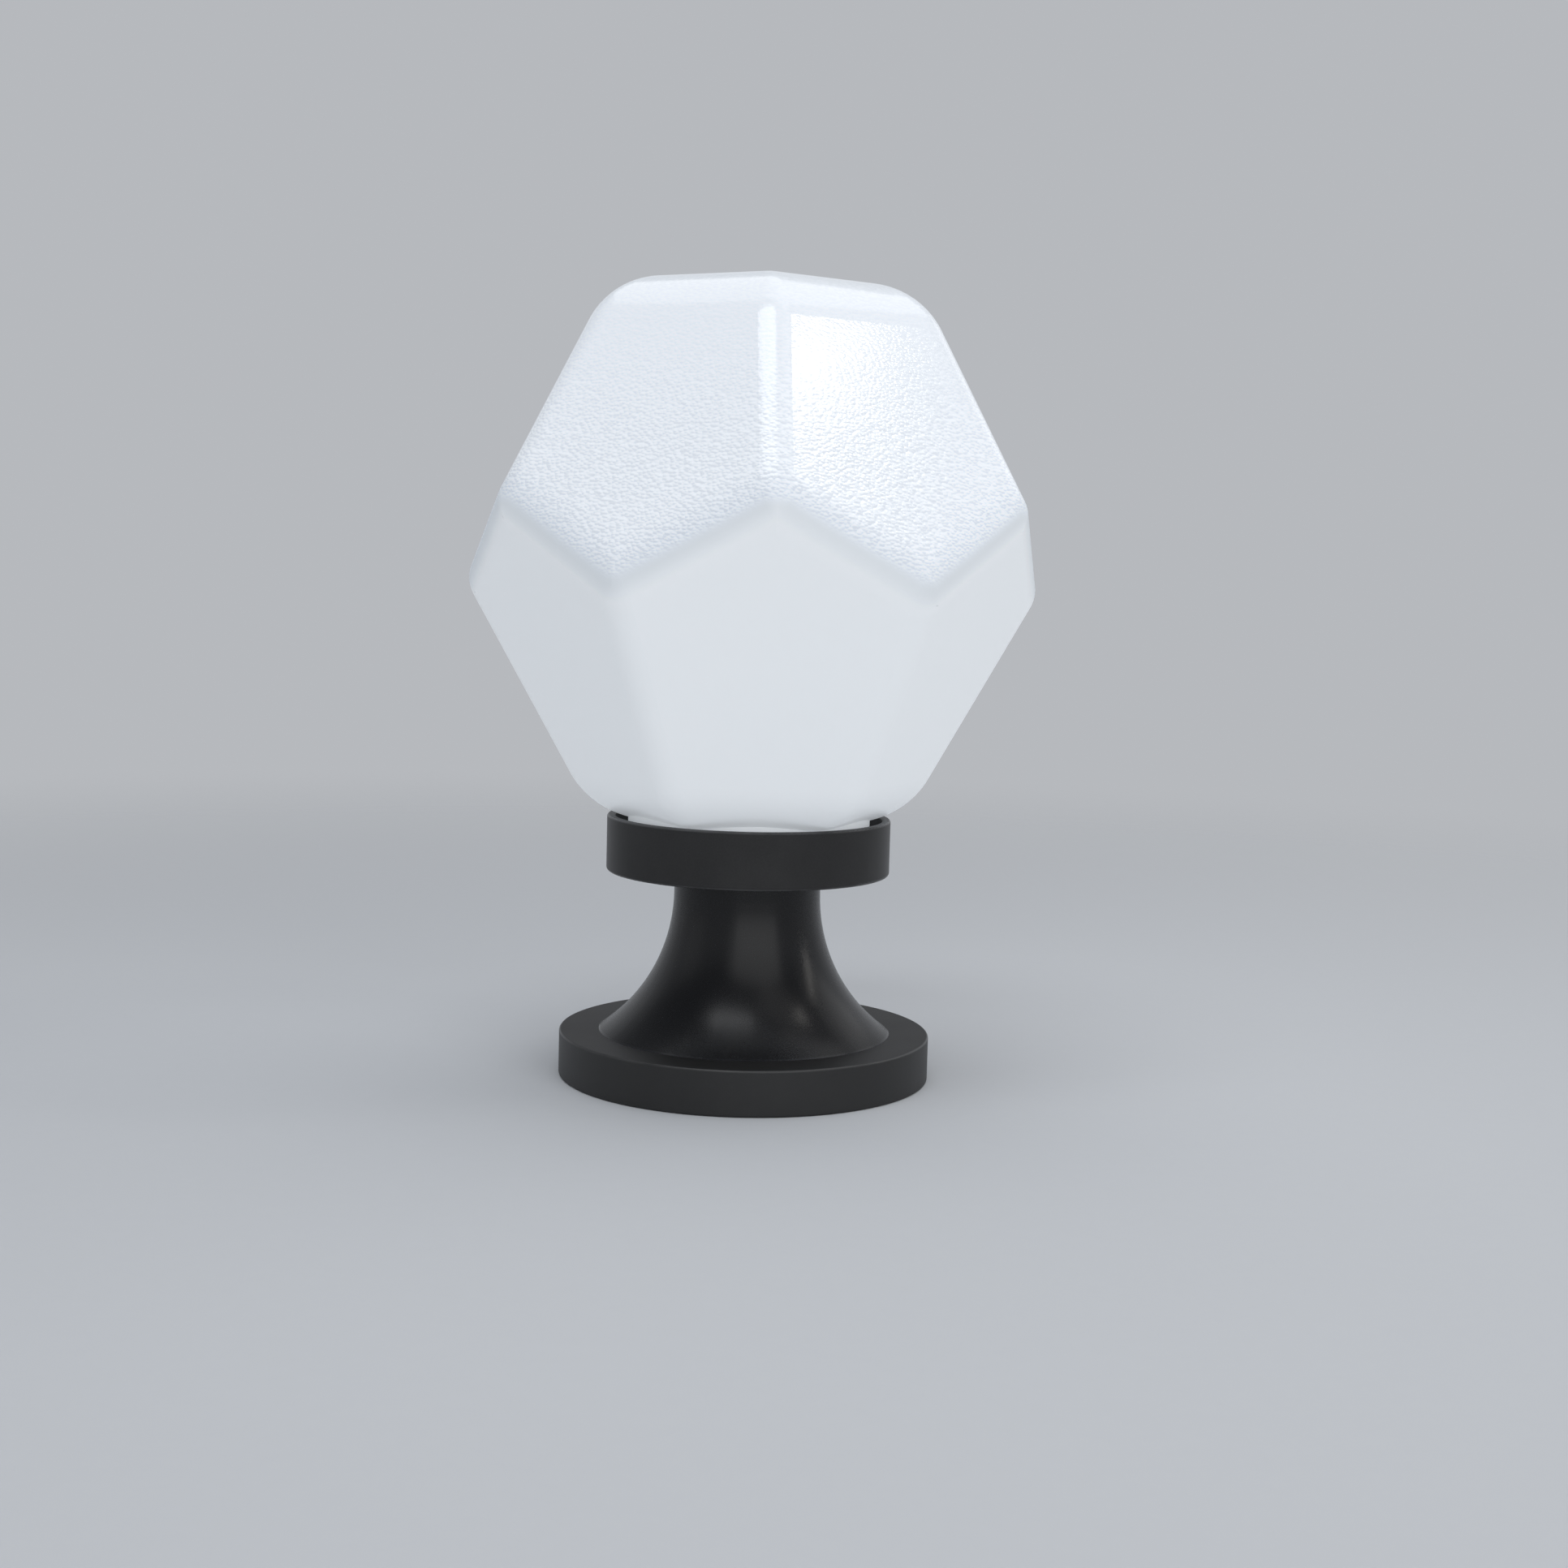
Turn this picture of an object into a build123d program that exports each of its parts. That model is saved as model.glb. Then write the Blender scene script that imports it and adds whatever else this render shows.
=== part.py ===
from build123d import *
import os
from math import cos, radians, sin, sqrt

# Gate light: a faceted opal globe, twist-locked into a black collar on a trumpet stem and a round foot.
# Sizes are in millimetres. The origin is the centre of the foot's underside, +Z is up, the front faces -Y.

# Clearances
slip_gap = 0.3  # round pieces that slide into each other
turn_gap = 0.6  # round pieces that turn past each other
seat_gap = 0.1  # the globe's neck over the collar's floor
screw_gap = 0.15  # fasteners in their holes
contact_gap = 0.3  # a lamp's centre button over the holder's spring
plate_gap = 4.7  # the mounting plate inside the foot
neck_gap = 2.5  # what stands in the collar, inside the globe's neck
lead_gap = 2.0  # a lead's straight end in front of the terminal block

# Foot, a hollow disc
foot_radius = 66.7
foot_height = 16.0
foot_wall = 5.0
foot_plate = 3.0
foot_edge = 0.8

# Seal in the foot's lower edge
gasket_width = 2.4
gasket_height = 2.0

# Stem, a trumpet-shaped shell
skirt_radius = 52.5
stem_radius = 26.3
stem_neck = 7.7
stem_flare = 50.0
stem_wall = 3.0
stem_cap = 4.0
skirt_lip = 3.0
spigot_wall = 3.0
spigot_overlap = 1.0

# Collar, a shallow cup that holds the globe
collar_radius = 50.8
collar_height = 20.0
collar_wall = 3.0
collar_floor = 3.0
collar_edge = 1.2
rim_edge = 0.8
collar_boss_radius = 18.0
collar_boss_height = 1.5

# Globe, six upper and six lower leaning faces between two flat hexagons
globe_ring_radius = 103.0
globe_ring_rise = 28.5
globe_lower_height = 82.8
globe_upper_height = 77.3
globe_face_edge = 12.0
globe_end_edge = 30.0
globe_wall = 2.5
globe_bottom_drop = 1.9
face_count = 6
front_angle = -90.0

# Twist lock between the globe's neck and the collar
lug_count = 3
lug_span = 26.0
lug_height = 3.0
lug_lift = 0.5
lug_slack = 0.7
entry_slack = 4.0
lock_turn = 30.0
ledge_height = 3.0
stop_span = 4.0
stop_slack = 1.5
seal_section = 1.95

# Hollow threaded rod with its nuts, from the mounting plate to the collar
rod_radius = 5.0
rod_bore = 3.4
rod_end = 3.0
rod_proud = 1.5
rod_chamfer = 0.6
nut_flats = 17.0
clamp_nut_height = 6.0
plate_nut_height = 5.0
washer_radius = 12.0
washer_thickness = 1.5
bush_bore = 2.6
bush_flange_radius = 6.2
bush_flange = 1.5
bush_sleeve = 6.0

# Mounting plate, a pressed steel dish
plate_thickness = 2.0
dome_radius = 26.0
dome_height = 12.0
dome_slope = 4.0
plate_hole_radius = 2.75
plate_hole_circle = 40.0
plate_hole_count = 3

# Bracket that carries the lampholder
bracket_width = 18.0
bracket_thickness = 1.5
bracket_foot = 12.0
wire_room = 8.3
bracket_boss_radius = 4.0
bracket_boss_height = 5.0
bracket_screw_radius = 1.9
bracket_screw_length = 7.5
bracket_head_radius = 3.5
bracket_head_height = 2.2

# Lampholder, a glazed ceramic body with a threaded shell
holder_radius = 21.0
holder_height = 40.0
holder_floor = 10.0
holder_edge = 1.5
holder_slot_width = 20.0
holder_slot_depth = 4.0
shell_wall = 0.8
shell_height = 24.0
shell_flange = 5.0
tail_width = 4.0
tail_thickness = 1.0
tail_margin = 3.5
tail_offset = 5.0
tail_pin_radius = 1.5
shell_pin_offset = 10.5
spring_rise = 3.5
spring_thickness = 0.6
spring_width = 4.0
holder_screw_offset = 17.6
holder_screw_radius = 1.2
holder_screw_length = 9.0
holder_head_radius = 2.75
holder_head_height = 2.0

# Lamp thread, 27 mm screw cap
thread_pitch = 3.629
cap_root_radius = 12.1
cap_crest_radius = 13.1
thread_gap = 0.3
cap_tooth_root = 1.7
cap_tooth_crest = 0.9
shell_tooth_root = 1.2
shell_tooth_crest = 0.9
cap_turns = 3.5
shell_turns = 3.0
tooth_sink = 0.25

# Lamp
button_radius = 4.6
button_height = 2.0
insulator_height = 5.0
cap_height = 20.0
cap_wall = 0.8
cap_base_radius = 10.4
lamp_radius = 30.0
housing_height = 40.0
housing_neck = 14.0
housing_wall = 2.0
housing_rim = 4.0
dome_wall = 1.6
dome_side = 8.0
board_thickness = 1.6
led_count = 12
led_ring = 17.0
led_length = 3.5
led_width = 2.8
led_height = 0.7
driver_width = 15.0
driver_height = 30.0
driver_thickness = 1.6
capacitor_radius = 4.0
capacitor_length = 12.0
capacitor_sink = 0.4

# Terminal block and the two leads to the lampholder
block_length = 20.0
block_depth = 16.0
block_height = 11.0
block_edge = 1.0
block_rib = 1.6
block_rib_height = 4.0
pole_radius = 2.2
tube_wall = 0.8
lead_radius = 1.1
lead_bend = 5.5
terminal_screw_radius = 1.4
terminal_screw_spacing = 8.0
terminal_screw_inset = 1.0

# Heights and radii that follow from the sizes above
collar_bottom = foot_height + stem_flare + stem_neck
collar_top = collar_bottom + collar_height
floor_top = collar_bottom + collar_floor
collar_bore = collar_radius - collar_wall
spigot_radius = skirt_radius - skirt_lip
stem_hole_radius = spigot_radius + slip_gap
flare_spread = skirt_radius - stem_radius
flare_radius = (stem_flare**2 + flare_spread**2) / (2 * flare_spread)
flare_centre = stem_radius + flare_radius
flare_top = foot_height + stem_flare
skirt_inner = flare_centre - sqrt((flare_radius + stem_wall) ** 2 - stem_flare**2)

seal_outer = collar_bore - slip_gap
seal_inner = seal_outer - 2 * seal_section
neck_radius = seal_inner - slip_gap
neck_bore = neck_radius - globe_wall
neck_bottom = floor_top + seat_gap
lug_bottom = neck_bottom + lug_lift
lug_top = lug_bottom + lug_height
ledge_bottom = lug_top + lug_slack
ledge_top = ledge_bottom + ledge_height
lug_radius = collar_bore - 2 * turn_gap
globe_bottom = collar_top - globe_bottom_drop
globe_lower_ring = globe_bottom + globe_lower_height
globe_upper_ring = globe_lower_ring + globe_ring_rise
globe_top = globe_upper_ring + globe_upper_height
half_face = radians(180 / face_count)
face_lean = globe_ring_radius * (1 - cos(half_face)) / globe_ring_rise
lower_face = (0, -face_lean, globe_upper_ring)
upper_face = (1, face_lean, globe_lower_ring)

seal_height = ledge_top + slip_gap + seal_section

nut_base = floor_top + washer_thickness
rod_top = nut_base + clamp_nut_height + rod_proud
rod_hole = rod_radius + slip_gap

boss_top = floor_top + bracket_boss_height
deck_bottom = rod_top + wire_room
deck_top = deck_bottom + bracket_thickness
room_radius = neck_bore - neck_gap
bracket_reach = sqrt(room_radius**2 - (bracket_width / 2) ** 2)
bracket_leg = bracket_reach - bracket_foot
bracket_screw_place = bracket_leg + bracket_foot / 2

holder_bottom = deck_top
holder_top = holder_bottom + holder_height
socket_floor = holder_bottom + holder_floor
slot_roof = holder_bottom + holder_slot_depth
shell_bore = cap_crest_radius + thread_gap
shell_radius = shell_bore + shell_wall
socket_radius = shell_radius + slip_gap
shell_crest = cap_root_radius + thread_gap

spring_top = socket_floor + spring_rise + spring_thickness
lamp_base = spring_top + contact_gap
cap_bottom = lamp_base + insulator_height
cap_top = cap_bottom + cap_height
shell_thread_bottom = cap_bottom + thread_pitch / 2
cap_thread_bottom = shell_thread_bottom + thread_pitch / 2
housing_top = cap_top + housing_height
board_top = housing_top - housing_rim
board_bottom = board_top - board_thickness
seat_radius = lamp_radius - housing_wall - slip_gap
dome_spring = board_top + dome_side

block_bottom = floor_top
block_place = sqrt(room_radius**2 - (block_length / 2) ** 2) - block_depth / 2
lead_place = block_place - block_depth / 2 - lead_gap - lead_bend
tail_length = lead_place + tail_margin
pole_height = block_bottom + block_height / 2
lead_top = slot_roof - tail_thickness


def outline(*points, turned=0):
    """Closed flat outline of (radius, height) points, standing on the Z axis at an angle about it."""
    with BuildSketch(Plane.XZ.rotated((0, 0, turned))) as profile:
        with BuildLine():
            Polyline(*points, close=True)
        make_face()
    return profile.sketch


def band(inner, outer, bottom, top, turned=0):
    """Rectangular outline between two radii and two heights."""
    return outline((inner, bottom), (outer, bottom), (outer, top), (inner, top), turned=turned)


def hexagon_ring(flats, hole, bottom, height):
    """A nut: hexagonal prism with a round hole."""
    with BuildPart() as nut:
        with BuildSketch(Plane.XY.offset(bottom)):
            RegularPolygon(flats / 2, 6, major_radius=False)
            Circle(hole, mode=Mode.SUBTRACT)
        extrude(amount=height)
    return nut.part


def faceted_body(inset):
    """The globe's rounded body, with every face moved inwards by the inset."""
    with BuildPart() as body:
        with Locations((0, 0, globe_bottom + inset)):
            Cylinder(
                2 * globe_ring_radius,
                globe_top - globe_bottom - 2 * inset,
                align=(Align.CENTER, Align.CENTER, Align.MIN),
            )
        for face in range(face_count):
            for half_turns, lean, ring in lower_face, upper_face:
                angle = radians(front_angle) + half_face * (2 * face + half_turns)
                normal = Vector(cos(angle), sin(angle), lean).normalized()
                corner = Vector(globe_ring_radius * cos(angle), globe_ring_radius * sin(angle), ring)
                split(bisect_by=Plane(corner - normal * inset, z_dir=normal), keep=Keep.BOTTOM)
        by_height = body.edges().group_by(Axis.Z)
        fillet(by_height[0] + by_height[-1], globe_end_edge - inset)
        by_height = body.edges().group_by(Axis.Z)
        fillet(body.edges() - by_height[0] - by_height[-1] - end_curves(body), globe_face_edge - inset)
    return body.part


def end_curves(body):
    """Edges of the rounded ends that lie across the leaning faces, level with the end rounding."""
    return body.edges().filter_by(lambda edge: edge.geom_type == GeomType.LINE and abs((edge % 0.5).Z) < 0.01)


def thread_ridge(root, crest, root_width, crest_width, bottom, turns):
    """One helical ridge between a root radius and a crest radius, sunk a little into its root."""
    sink = tooth_sink if crest > root else -tooth_sink
    with BuildPart() as ridge:
        with BuildLine() as path:
            Helix(thread_pitch, thread_pitch * turns, root, center=(0, 0, bottom))
        start = path.line @ 0
        with BuildSketch(Plane(start, x_dir=(1, 0, 0), z_dir=path.line % 0)):
            with BuildLine():
                Polyline(
                    (-sink, -root_width / 2),
                    (crest - root, -crest_width / 2),
                    (crest - root, crest_width / 2),
                    (-sink, root_width / 2),
                    close=True,
                )
            make_face()
        sweep(path=path.line, is_frenet=True)
    return ridge.part


os.makedirs("parts", exist_ok=True)

# Foot: open underneath, with a groove for its seal and an opening for the stem
groove_middle = foot_radius - foot_wall / 2
with BuildPart() as foot:
    foot_inner = foot_radius - foot_wall
    revolve(
        outline(
            (foot_inner, 0),
            (foot_radius, 0),
            (foot_radius, foot_height),
            (stem_hole_radius, foot_height),
            (stem_hole_radius, foot_height - foot_plate),
            (foot_inner, foot_height - foot_plate),
        ),
        axis=Axis.Z,
    )
    groove_half = gasket_width / 2 + screw_gap
    revolve(
        band(groove_middle - groove_half, groove_middle + groove_half, 0, gasket_height),
        axis=Axis.Z,
        mode=Mode.SUBTRACT,
    )
    outer_edges = foot.edges().filter_by(GeomType.CIRCLE).group_by(SortBy.RADIUS)[-1]
    fillet(outer_edges, foot_edge)
foot.part.label = "foot"
export_step(foot.part, "parts/foot.step")

with BuildPart() as base_gasket:
    revolve(
        band(groove_middle - gasket_width / 2, groove_middle + gasket_width / 2, 0, gasket_height),
        axis=Axis.Z,
    )
base_gasket.part.label = "base_gasket"
export_step(base_gasket.part, "parts/base_gasket.step")

# Stem: a straight neck that flares out to the skirt, with a spigot that locates the foot
with BuildPart() as stem:
    with BuildSketch(Plane.XZ):
        with BuildLine():
            outer_flare = TangentArc((stem_radius, flare_top), (skirt_radius, foot_height), tangent=(0, -1))
            inner_flare = TangentArc(
                (stem_radius - stem_wall, flare_top), (skirt_inner, foot_height), tangent=(0, -1)
            )
            Line(outer_flare @ 1, inner_flare @ 1)
            Polyline(
                inner_flare @ 0,
                (stem_radius - stem_wall, collar_bottom - stem_cap),
                (rod_hole, collar_bottom - stem_cap),
                (rod_hole, collar_bottom),
                (stem_radius, collar_bottom),
                outer_flare @ 0,
            )
        make_face()
    revolve(axis=Axis.Z)
    spigot_bottom = foot_height - foot_plate
    spigot_top = foot_height + spigot_overlap
    revolve(band(spigot_radius - spigot_wall, spigot_radius, spigot_bottom, spigot_top), axis=Axis.Z)
    boss_recess_depth = collar_boss_height + slip_gap
    revolve(
        band(rod_hole, collar_boss_radius + slip_gap, collar_bottom - boss_recess_depth, collar_bottom),
        axis=Axis.Z,
        mode=Mode.SUBTRACT,
    )
stem.part.label = "stem"
export_step(stem.part, "parts/stem.step")

# Collar: a cup with a broken inner ledge for the globe's lugs, bosses for the bracket and ribs for the block
ledge_inner = neck_radius + turn_gap
ledge_outer = collar_bore + rim_edge
lug_pitch = 360 / lug_count
entry_span = lug_span + 2 * entry_slack
stop_place = -(lug_span / 2 + lock_turn + stop_slack + stop_span)
with BuildPart() as collar:
    revolve(
        outline(
            (rod_hole, collar_bottom - collar_boss_height),
            (collar_boss_radius, collar_bottom - collar_boss_height),
            (collar_boss_radius, collar_bottom),
            (collar_radius, collar_bottom),
            (collar_radius, collar_top),
            (collar_bore, collar_top),
            (collar_bore, floor_top),
            (rod_hole, floor_top),
        ),
        axis=Axis.Z,
    )
    bottom_edge = collar.edges().filter_by(GeomType.CIRCLE).group_by(SortBy.RADIUS)[-1].sort_by(Axis.Z)[0]
    fillet(bottom_edge, collar_edge)
    fillet(collar.edges().group_by(Axis.Z)[-1], rim_edge)
    for lug in range(lug_count):
        entry_middle = front_angle + lug * lug_pitch
        revolve(
            band(ledge_inner, ledge_outer, ledge_bottom, ledge_top, turned=entry_middle + entry_span / 2),
            axis=Axis.Z,
            revolution_arc=lug_pitch - entry_span,
        )
        revolve(
            band(ledge_inner, ledge_outer, floor_top, ledge_bottom, turned=entry_middle + stop_place),
            axis=Axis.Z,
            revolution_arc=stop_span,
        )
    with Locations((-bracket_screw_place, 0, floor_top), (bracket_screw_place, 0, floor_top)):
        Cylinder(
            bracket_boss_radius, bracket_boss_height, align=(Align.CENTER, Align.CENTER, Align.MIN)
        )
    with Locations((-bracket_screw_place, 0, boss_top), (bracket_screw_place, 0, boss_top)):
        Hole(bracket_screw_radius + screw_gap, depth=bracket_screw_length - bracket_thickness + screw_gap)
    rib_place = block_length / 2 + slip_gap + block_rib / 2
    with Locations((-rib_place, block_place, floor_top), (rib_place, block_place, floor_top)):
        Box(block_rib, block_depth / 2, block_rib_height, align=(Align.CENTER, Align.CENTER, Align.MIN))
collar.part.label = "collar"
export_step(collar.part, "parts/collar.step")

# Globe: a thin faceted shell with a round neck and three lugs
globe_skin = faceted_body(0)
globe_hollow = faceted_body(globe_wall)
neck_reach = globe_end_edge / 2
with BuildPart() as globe:
    add(globe_skin)
    revolve(band(0, neck_radius, neck_bottom, globe_bottom + neck_reach), axis=Axis.Z)
    add(globe_hollow, mode=Mode.SUBTRACT)
    revolve(band(0, neck_bore, neck_bottom, globe_bottom + neck_reach), axis=Axis.Z, mode=Mode.SUBTRACT)
    for lug in range(lug_count):
        lug_start = front_angle + lug * lug_pitch - lug_span / 2
        revolve(
            band(neck_radius - globe_wall / 2, lug_radius, lug_bottom, lug_top, turned=lug_start),
            axis=Axis.Z,
            revolution_arc=lug_span,
        )
globe.part.label = "globe"
export_step(globe.part, "parts/globe.step")

with BuildPart() as globe_seal:
    with BuildSketch(Plane.XZ):
        with Locations(((seal_inner + seal_outer) / 2, seal_height)):
            Circle(seal_section)
    revolve(axis=Axis.Z)
globe_seal.part.label = "globe_seal"
export_step(globe_seal.part, "parts/globe_seal.step")

# Mounting plate: a flat flange with screw holes and a raised middle for the rod
with BuildPart() as mounting_plate:
    dome_foot = dome_radius + dome_slope
    plate_radius = foot_radius - foot_wall - plate_gap
    revolve(
        outline(
            (rod_hole, dome_height),
            (dome_radius, dome_height),
            (dome_foot, plate_thickness),
            (plate_radius, plate_thickness),
            (plate_radius, 0),
            (dome_foot - plate_thickness, 0),
            (dome_radius - plate_thickness, dome_height - plate_thickness),
            (rod_hole, dome_height - plate_thickness),
        ),
        axis=Axis.Z,
    )
    with Locations((0, 0, plate_thickness)):
        with PolarLocations(plate_hole_circle, plate_hole_count, start_angle=front_angle):
            Hole(plate_hole_radius)
mounting_plate.part.label = "mounting_plate"
export_step(mounting_plate.part, "parts/mounting_plate.step")

# Rod, nuts, washer and the bush at the cable's inlet
with BuildPart() as threaded_rod:
    revolve(band(rod_bore, rod_radius, rod_end, rod_top), axis=Axis.Z)
    outer_ends = threaded_rod.edges().filter_by(GeomType.CIRCLE).group_by(SortBy.RADIUS)[-1]
    chamfer(outer_ends, rod_chamfer)
threaded_rod.part.label = "threaded_rod"
export_step(threaded_rod.part, "parts/threaded_rod.step")

nut_hole = rod_radius + screw_gap
lower_nut_base = dome_height - plate_thickness - plate_nut_height
lower_nut = hexagon_ring(nut_flats, nut_hole, lower_nut_base, plate_nut_height)
upper_nut = hexagon_ring(nut_flats, nut_hole, dome_height, plate_nut_height)
with BuildPart() as plate_nuts:
    add(lower_nut)
    add(upper_nut)
plate_nuts.part.label = "plate_nuts"
export_step(plate_nuts.part, "parts/plate_nuts.step")

with BuildPart() as clamp_washer:
    revolve(band(nut_hole, washer_radius, floor_top, nut_base), axis=Axis.Z)
clamp_washer.part.label = "clamp_washer"
export_step(clamp_washer.part, "parts/clamp_washer.step")

top_nut = hexagon_ring(nut_flats, nut_hole, nut_base, clamp_nut_height)
with BuildPart() as clamp_nut:
    add(top_nut)
clamp_nut.part.label = "clamp_nut"
export_step(clamp_nut.part, "parts/clamp_nut.step")

with BuildPart() as cable_bush:
    bush_radius = rod_bore - screw_gap
    revolve(
        outline(
            (bush_bore, rod_end - bush_flange),
            (bush_flange_radius, rod_end - bush_flange),
            (bush_flange_radius, rod_end),
            (bush_radius, rod_end),
            (bush_radius, rod_end + bush_sleeve),
            (bush_bore, rod_end + bush_sleeve),
        ),
        axis=Axis.Z,
    )
cable_bush.part.label = "cable_bush"
export_step(cable_bush.part, "parts/cable_bush.step")

# Bracket: a bridge of bent strip over the clamp nut, with its two screws
with BuildPart() as lampholder_bracket:
    with BuildSketch(Plane.XZ):
        with BuildLine():
            half_strip = Polyline(
                (0, deck_top),
                (bracket_leg, deck_top),
                (bracket_leg, boss_top + bracket_thickness),
                (bracket_reach, boss_top + bracket_thickness),
                (bracket_reach, boss_top),
                (bracket_leg - bracket_thickness, boss_top),
                (bracket_leg - bracket_thickness, deck_bottom),
                (0, deck_bottom),
            )
            mirror(half_strip, about=Plane.YZ)
        make_face()
    extrude(amount=bracket_width / 2, both=True)
    foot_face = boss_top + bracket_thickness
    with Locations((-bracket_screw_place, 0, foot_face), (bracket_screw_place, 0, foot_face)):
        Hole(bracket_screw_radius + screw_gap, depth=2 * bracket_thickness)
    with Locations((-holder_screw_offset, 0, deck_top), (holder_screw_offset, 0, deck_top)):
        Hole(holder_screw_radius + screw_gap, depth=2 * bracket_thickness)
lampholder_bracket.part.label = "lampholder_bracket"
export_step(lampholder_bracket.part, "parts/lampholder_bracket.step")

with BuildPart() as bracket_screws:
    for side in (-1, 1):
        with Locations((side * bracket_screw_place, 0, foot_face)):
            Cylinder(
                bracket_head_radius, bracket_head_height, align=(Align.CENTER, Align.CENTER, Align.MIN)
            )
            Cylinder(
                bracket_screw_radius, bracket_screw_length, align=(Align.CENTER, Align.CENTER, Align.MAX)
            )
    head_rims = bracket_screws.edges().filter_by(GeomType.CIRCLE).group_by(Axis.Z)[-1]
    fillet(head_rims, bracket_head_height / 2)
bracket_screws.part.label = "bracket_screws"
export_step(bracket_screws.part, "parts/bracket_screws.step")

# Lampholder: ceramic body with a deep socket, and a slot underneath for the two terminal tails
with BuildPart() as lampholder_body:
    revolve(
        outline(
            (0, holder_bottom),
            (holder_radius, holder_bottom),
            (holder_radius, holder_top),
            (socket_radius, holder_top),
            (socket_radius, socket_floor),
            (0, socket_floor),
        ),
        axis=Axis.Z,
    )
    fillet(lampholder_body.edges().group_by(Axis.Z)[-1], holder_edge)
    slot_start = -tail_width
    with Locations((0, slot_start, holder_bottom)):
        Box(
            holder_slot_width,
            holder_radius - slot_start,
            holder_slot_depth,
            align=(Align.CENTER, Align.MIN, Align.MIN),
            mode=Mode.SUBTRACT,
        )
    with Locations((-tail_offset, 0, socket_floor), (tail_offset, shell_pin_offset, socket_floor)):
        Hole(tail_pin_radius + screw_gap, depth=holder_floor)
    with Locations(
        (-holder_screw_offset, 0, holder_bottom + holder_screw_length),
        (holder_screw_offset, 0, holder_bottom + holder_screw_length),
    ):
        Hole(holder_screw_radius + screw_gap, depth=holder_screw_length)
lampholder_body.part.label = "lampholder_body"
export_step(lampholder_body.part, "parts/lampholder_body.step")

with BuildPart() as lampholder_screws:
    for side in (-1, 1):
        with Locations((side * holder_screw_offset, 0, deck_bottom)):
            Cylinder(
                holder_head_radius, holder_head_height, align=(Align.CENTER, Align.CENTER, Align.MAX)
            )
            Cylinder(
                holder_screw_radius, holder_screw_length, align=(Align.CENTER, Align.CENTER, Align.MIN)
            )
lampholder_screws.part.label = "lampholder_screws"
export_step(lampholder_screws.part, "parts/lampholder_screws.step")

# Threaded shell in the socket, with its terminal tail under the floor
shell_thread = thread_ridge(
    shell_bore, shell_crest, shell_tooth_root, shell_tooth_crest, shell_thread_bottom, shell_turns
)
with BuildPart() as lampholder_shell:
    revolve(
        outline(
            (shell_bore - shell_flange, socket_floor),
            (shell_radius, socket_floor),
            (shell_radius, socket_floor + shell_height),
            (shell_bore, socket_floor + shell_height),
            (shell_bore, socket_floor + shell_wall),
            (shell_bore - shell_flange, socket_floor + shell_wall),
        ),
        axis=Axis.Z,
    )
    add(shell_thread)
    with Locations((tail_offset, shell_pin_offset, slot_roof)):
        Cylinder(
            tail_pin_radius, socket_floor - slot_roof, align=(Align.CENTER, Align.CENTER, Align.MIN)
        )
    with Locations((tail_offset, shell_pin_offset - tail_pin_radius, slot_roof)):
        Box(
            tail_width,
            tail_length - shell_pin_offset + tail_pin_radius,
            tail_thickness,
            align=(Align.CENTER, Align.MIN, Align.MAX),
        )
lampholder_shell.part.label = "lampholder_shell"
export_step(lampholder_shell.part, "parts/lampholder_shell.step")

# Centre contact: a bent spring in the socket, on a pin through the floor to its tail
with BuildPart() as centre_contact:
    with Locations((-tail_offset, 0, slot_roof)):
        Cylinder(
            tail_pin_radius, socket_floor - slot_roof, align=(Align.CENTER, Align.CENTER, Align.MIN)
        )
    with Locations((-tail_offset, -tail_width / 2, slot_roof)):
        Box(
            tail_width,
            tail_length + tail_width / 2,
            tail_thickness,
            align=(Align.CENTER, Align.MIN, Align.MAX),
        )
    with BuildSketch(Plane.XZ):
        with BuildLine():
            spring_base = socket_floor + spring_thickness / 2
            spring_line = Polyline(
                (-tail_offset - spring_width / 2, spring_base),
                (-tail_offset + spring_width / 2, spring_base),
                (-spring_width / 2, spring_base + spring_rise),
                (spring_width / 2, spring_base + spring_rise),
            )
            offset(spring_line, spring_thickness / 2, side=Side.BOTH)
        make_face()
    extrude(amount=spring_width / 2, both=True)
centre_contact.part.label = "centre_contact"
export_step(centre_contact.part, "parts/centre_contact.step")

# Terminal block with two brass tubes and their screws
with BuildPart() as terminal_block:
    with Locations((0, block_place, block_bottom)):
        Box(block_length, block_depth, block_height, align=(Align.CENTER, Align.CENTER, Align.MIN))
    with Locations(Plane.XZ.offset(-block_place - block_depth / 2)):
        with Locations((-tail_offset, pole_height), (tail_offset, pole_height)):
            Hole(pole_radius + screw_gap)
    with Locations((0, block_place, block_bottom + block_height)):
        with GridLocations(2 * tail_offset, terminal_screw_spacing, 2, 2):
            Hole(terminal_screw_radius + screw_gap, depth=block_height / 2)
    fillet(terminal_block.edges().filter_by(Axis.Z).group_by(SortBy.LENGTH)[-1], block_edge)
terminal_block.part.label = "terminal_block"
export_step(terminal_block.part, "parts/terminal_block.step")

with BuildPart() as terminal_tubes:
    with BuildSketch(Plane.XZ.offset(-block_place)):
        with Locations((-tail_offset, pole_height), (tail_offset, pole_height)):
            Circle(pole_radius)
            Circle(pole_radius - tube_wall, mode=Mode.SUBTRACT)
    extrude(amount=block_depth / 2 - terminal_screw_inset, both=True)
    with Locations((0, block_place, block_bottom + block_height)):
        with GridLocations(2 * tail_offset, terminal_screw_spacing, 2, 2):
            Hole(terminal_screw_radius + screw_gap, depth=block_height / 2)
terminal_tubes.part.label = "terminal_tubes"
export_step(terminal_tubes.part, "parts/terminal_tubes.step")

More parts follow.
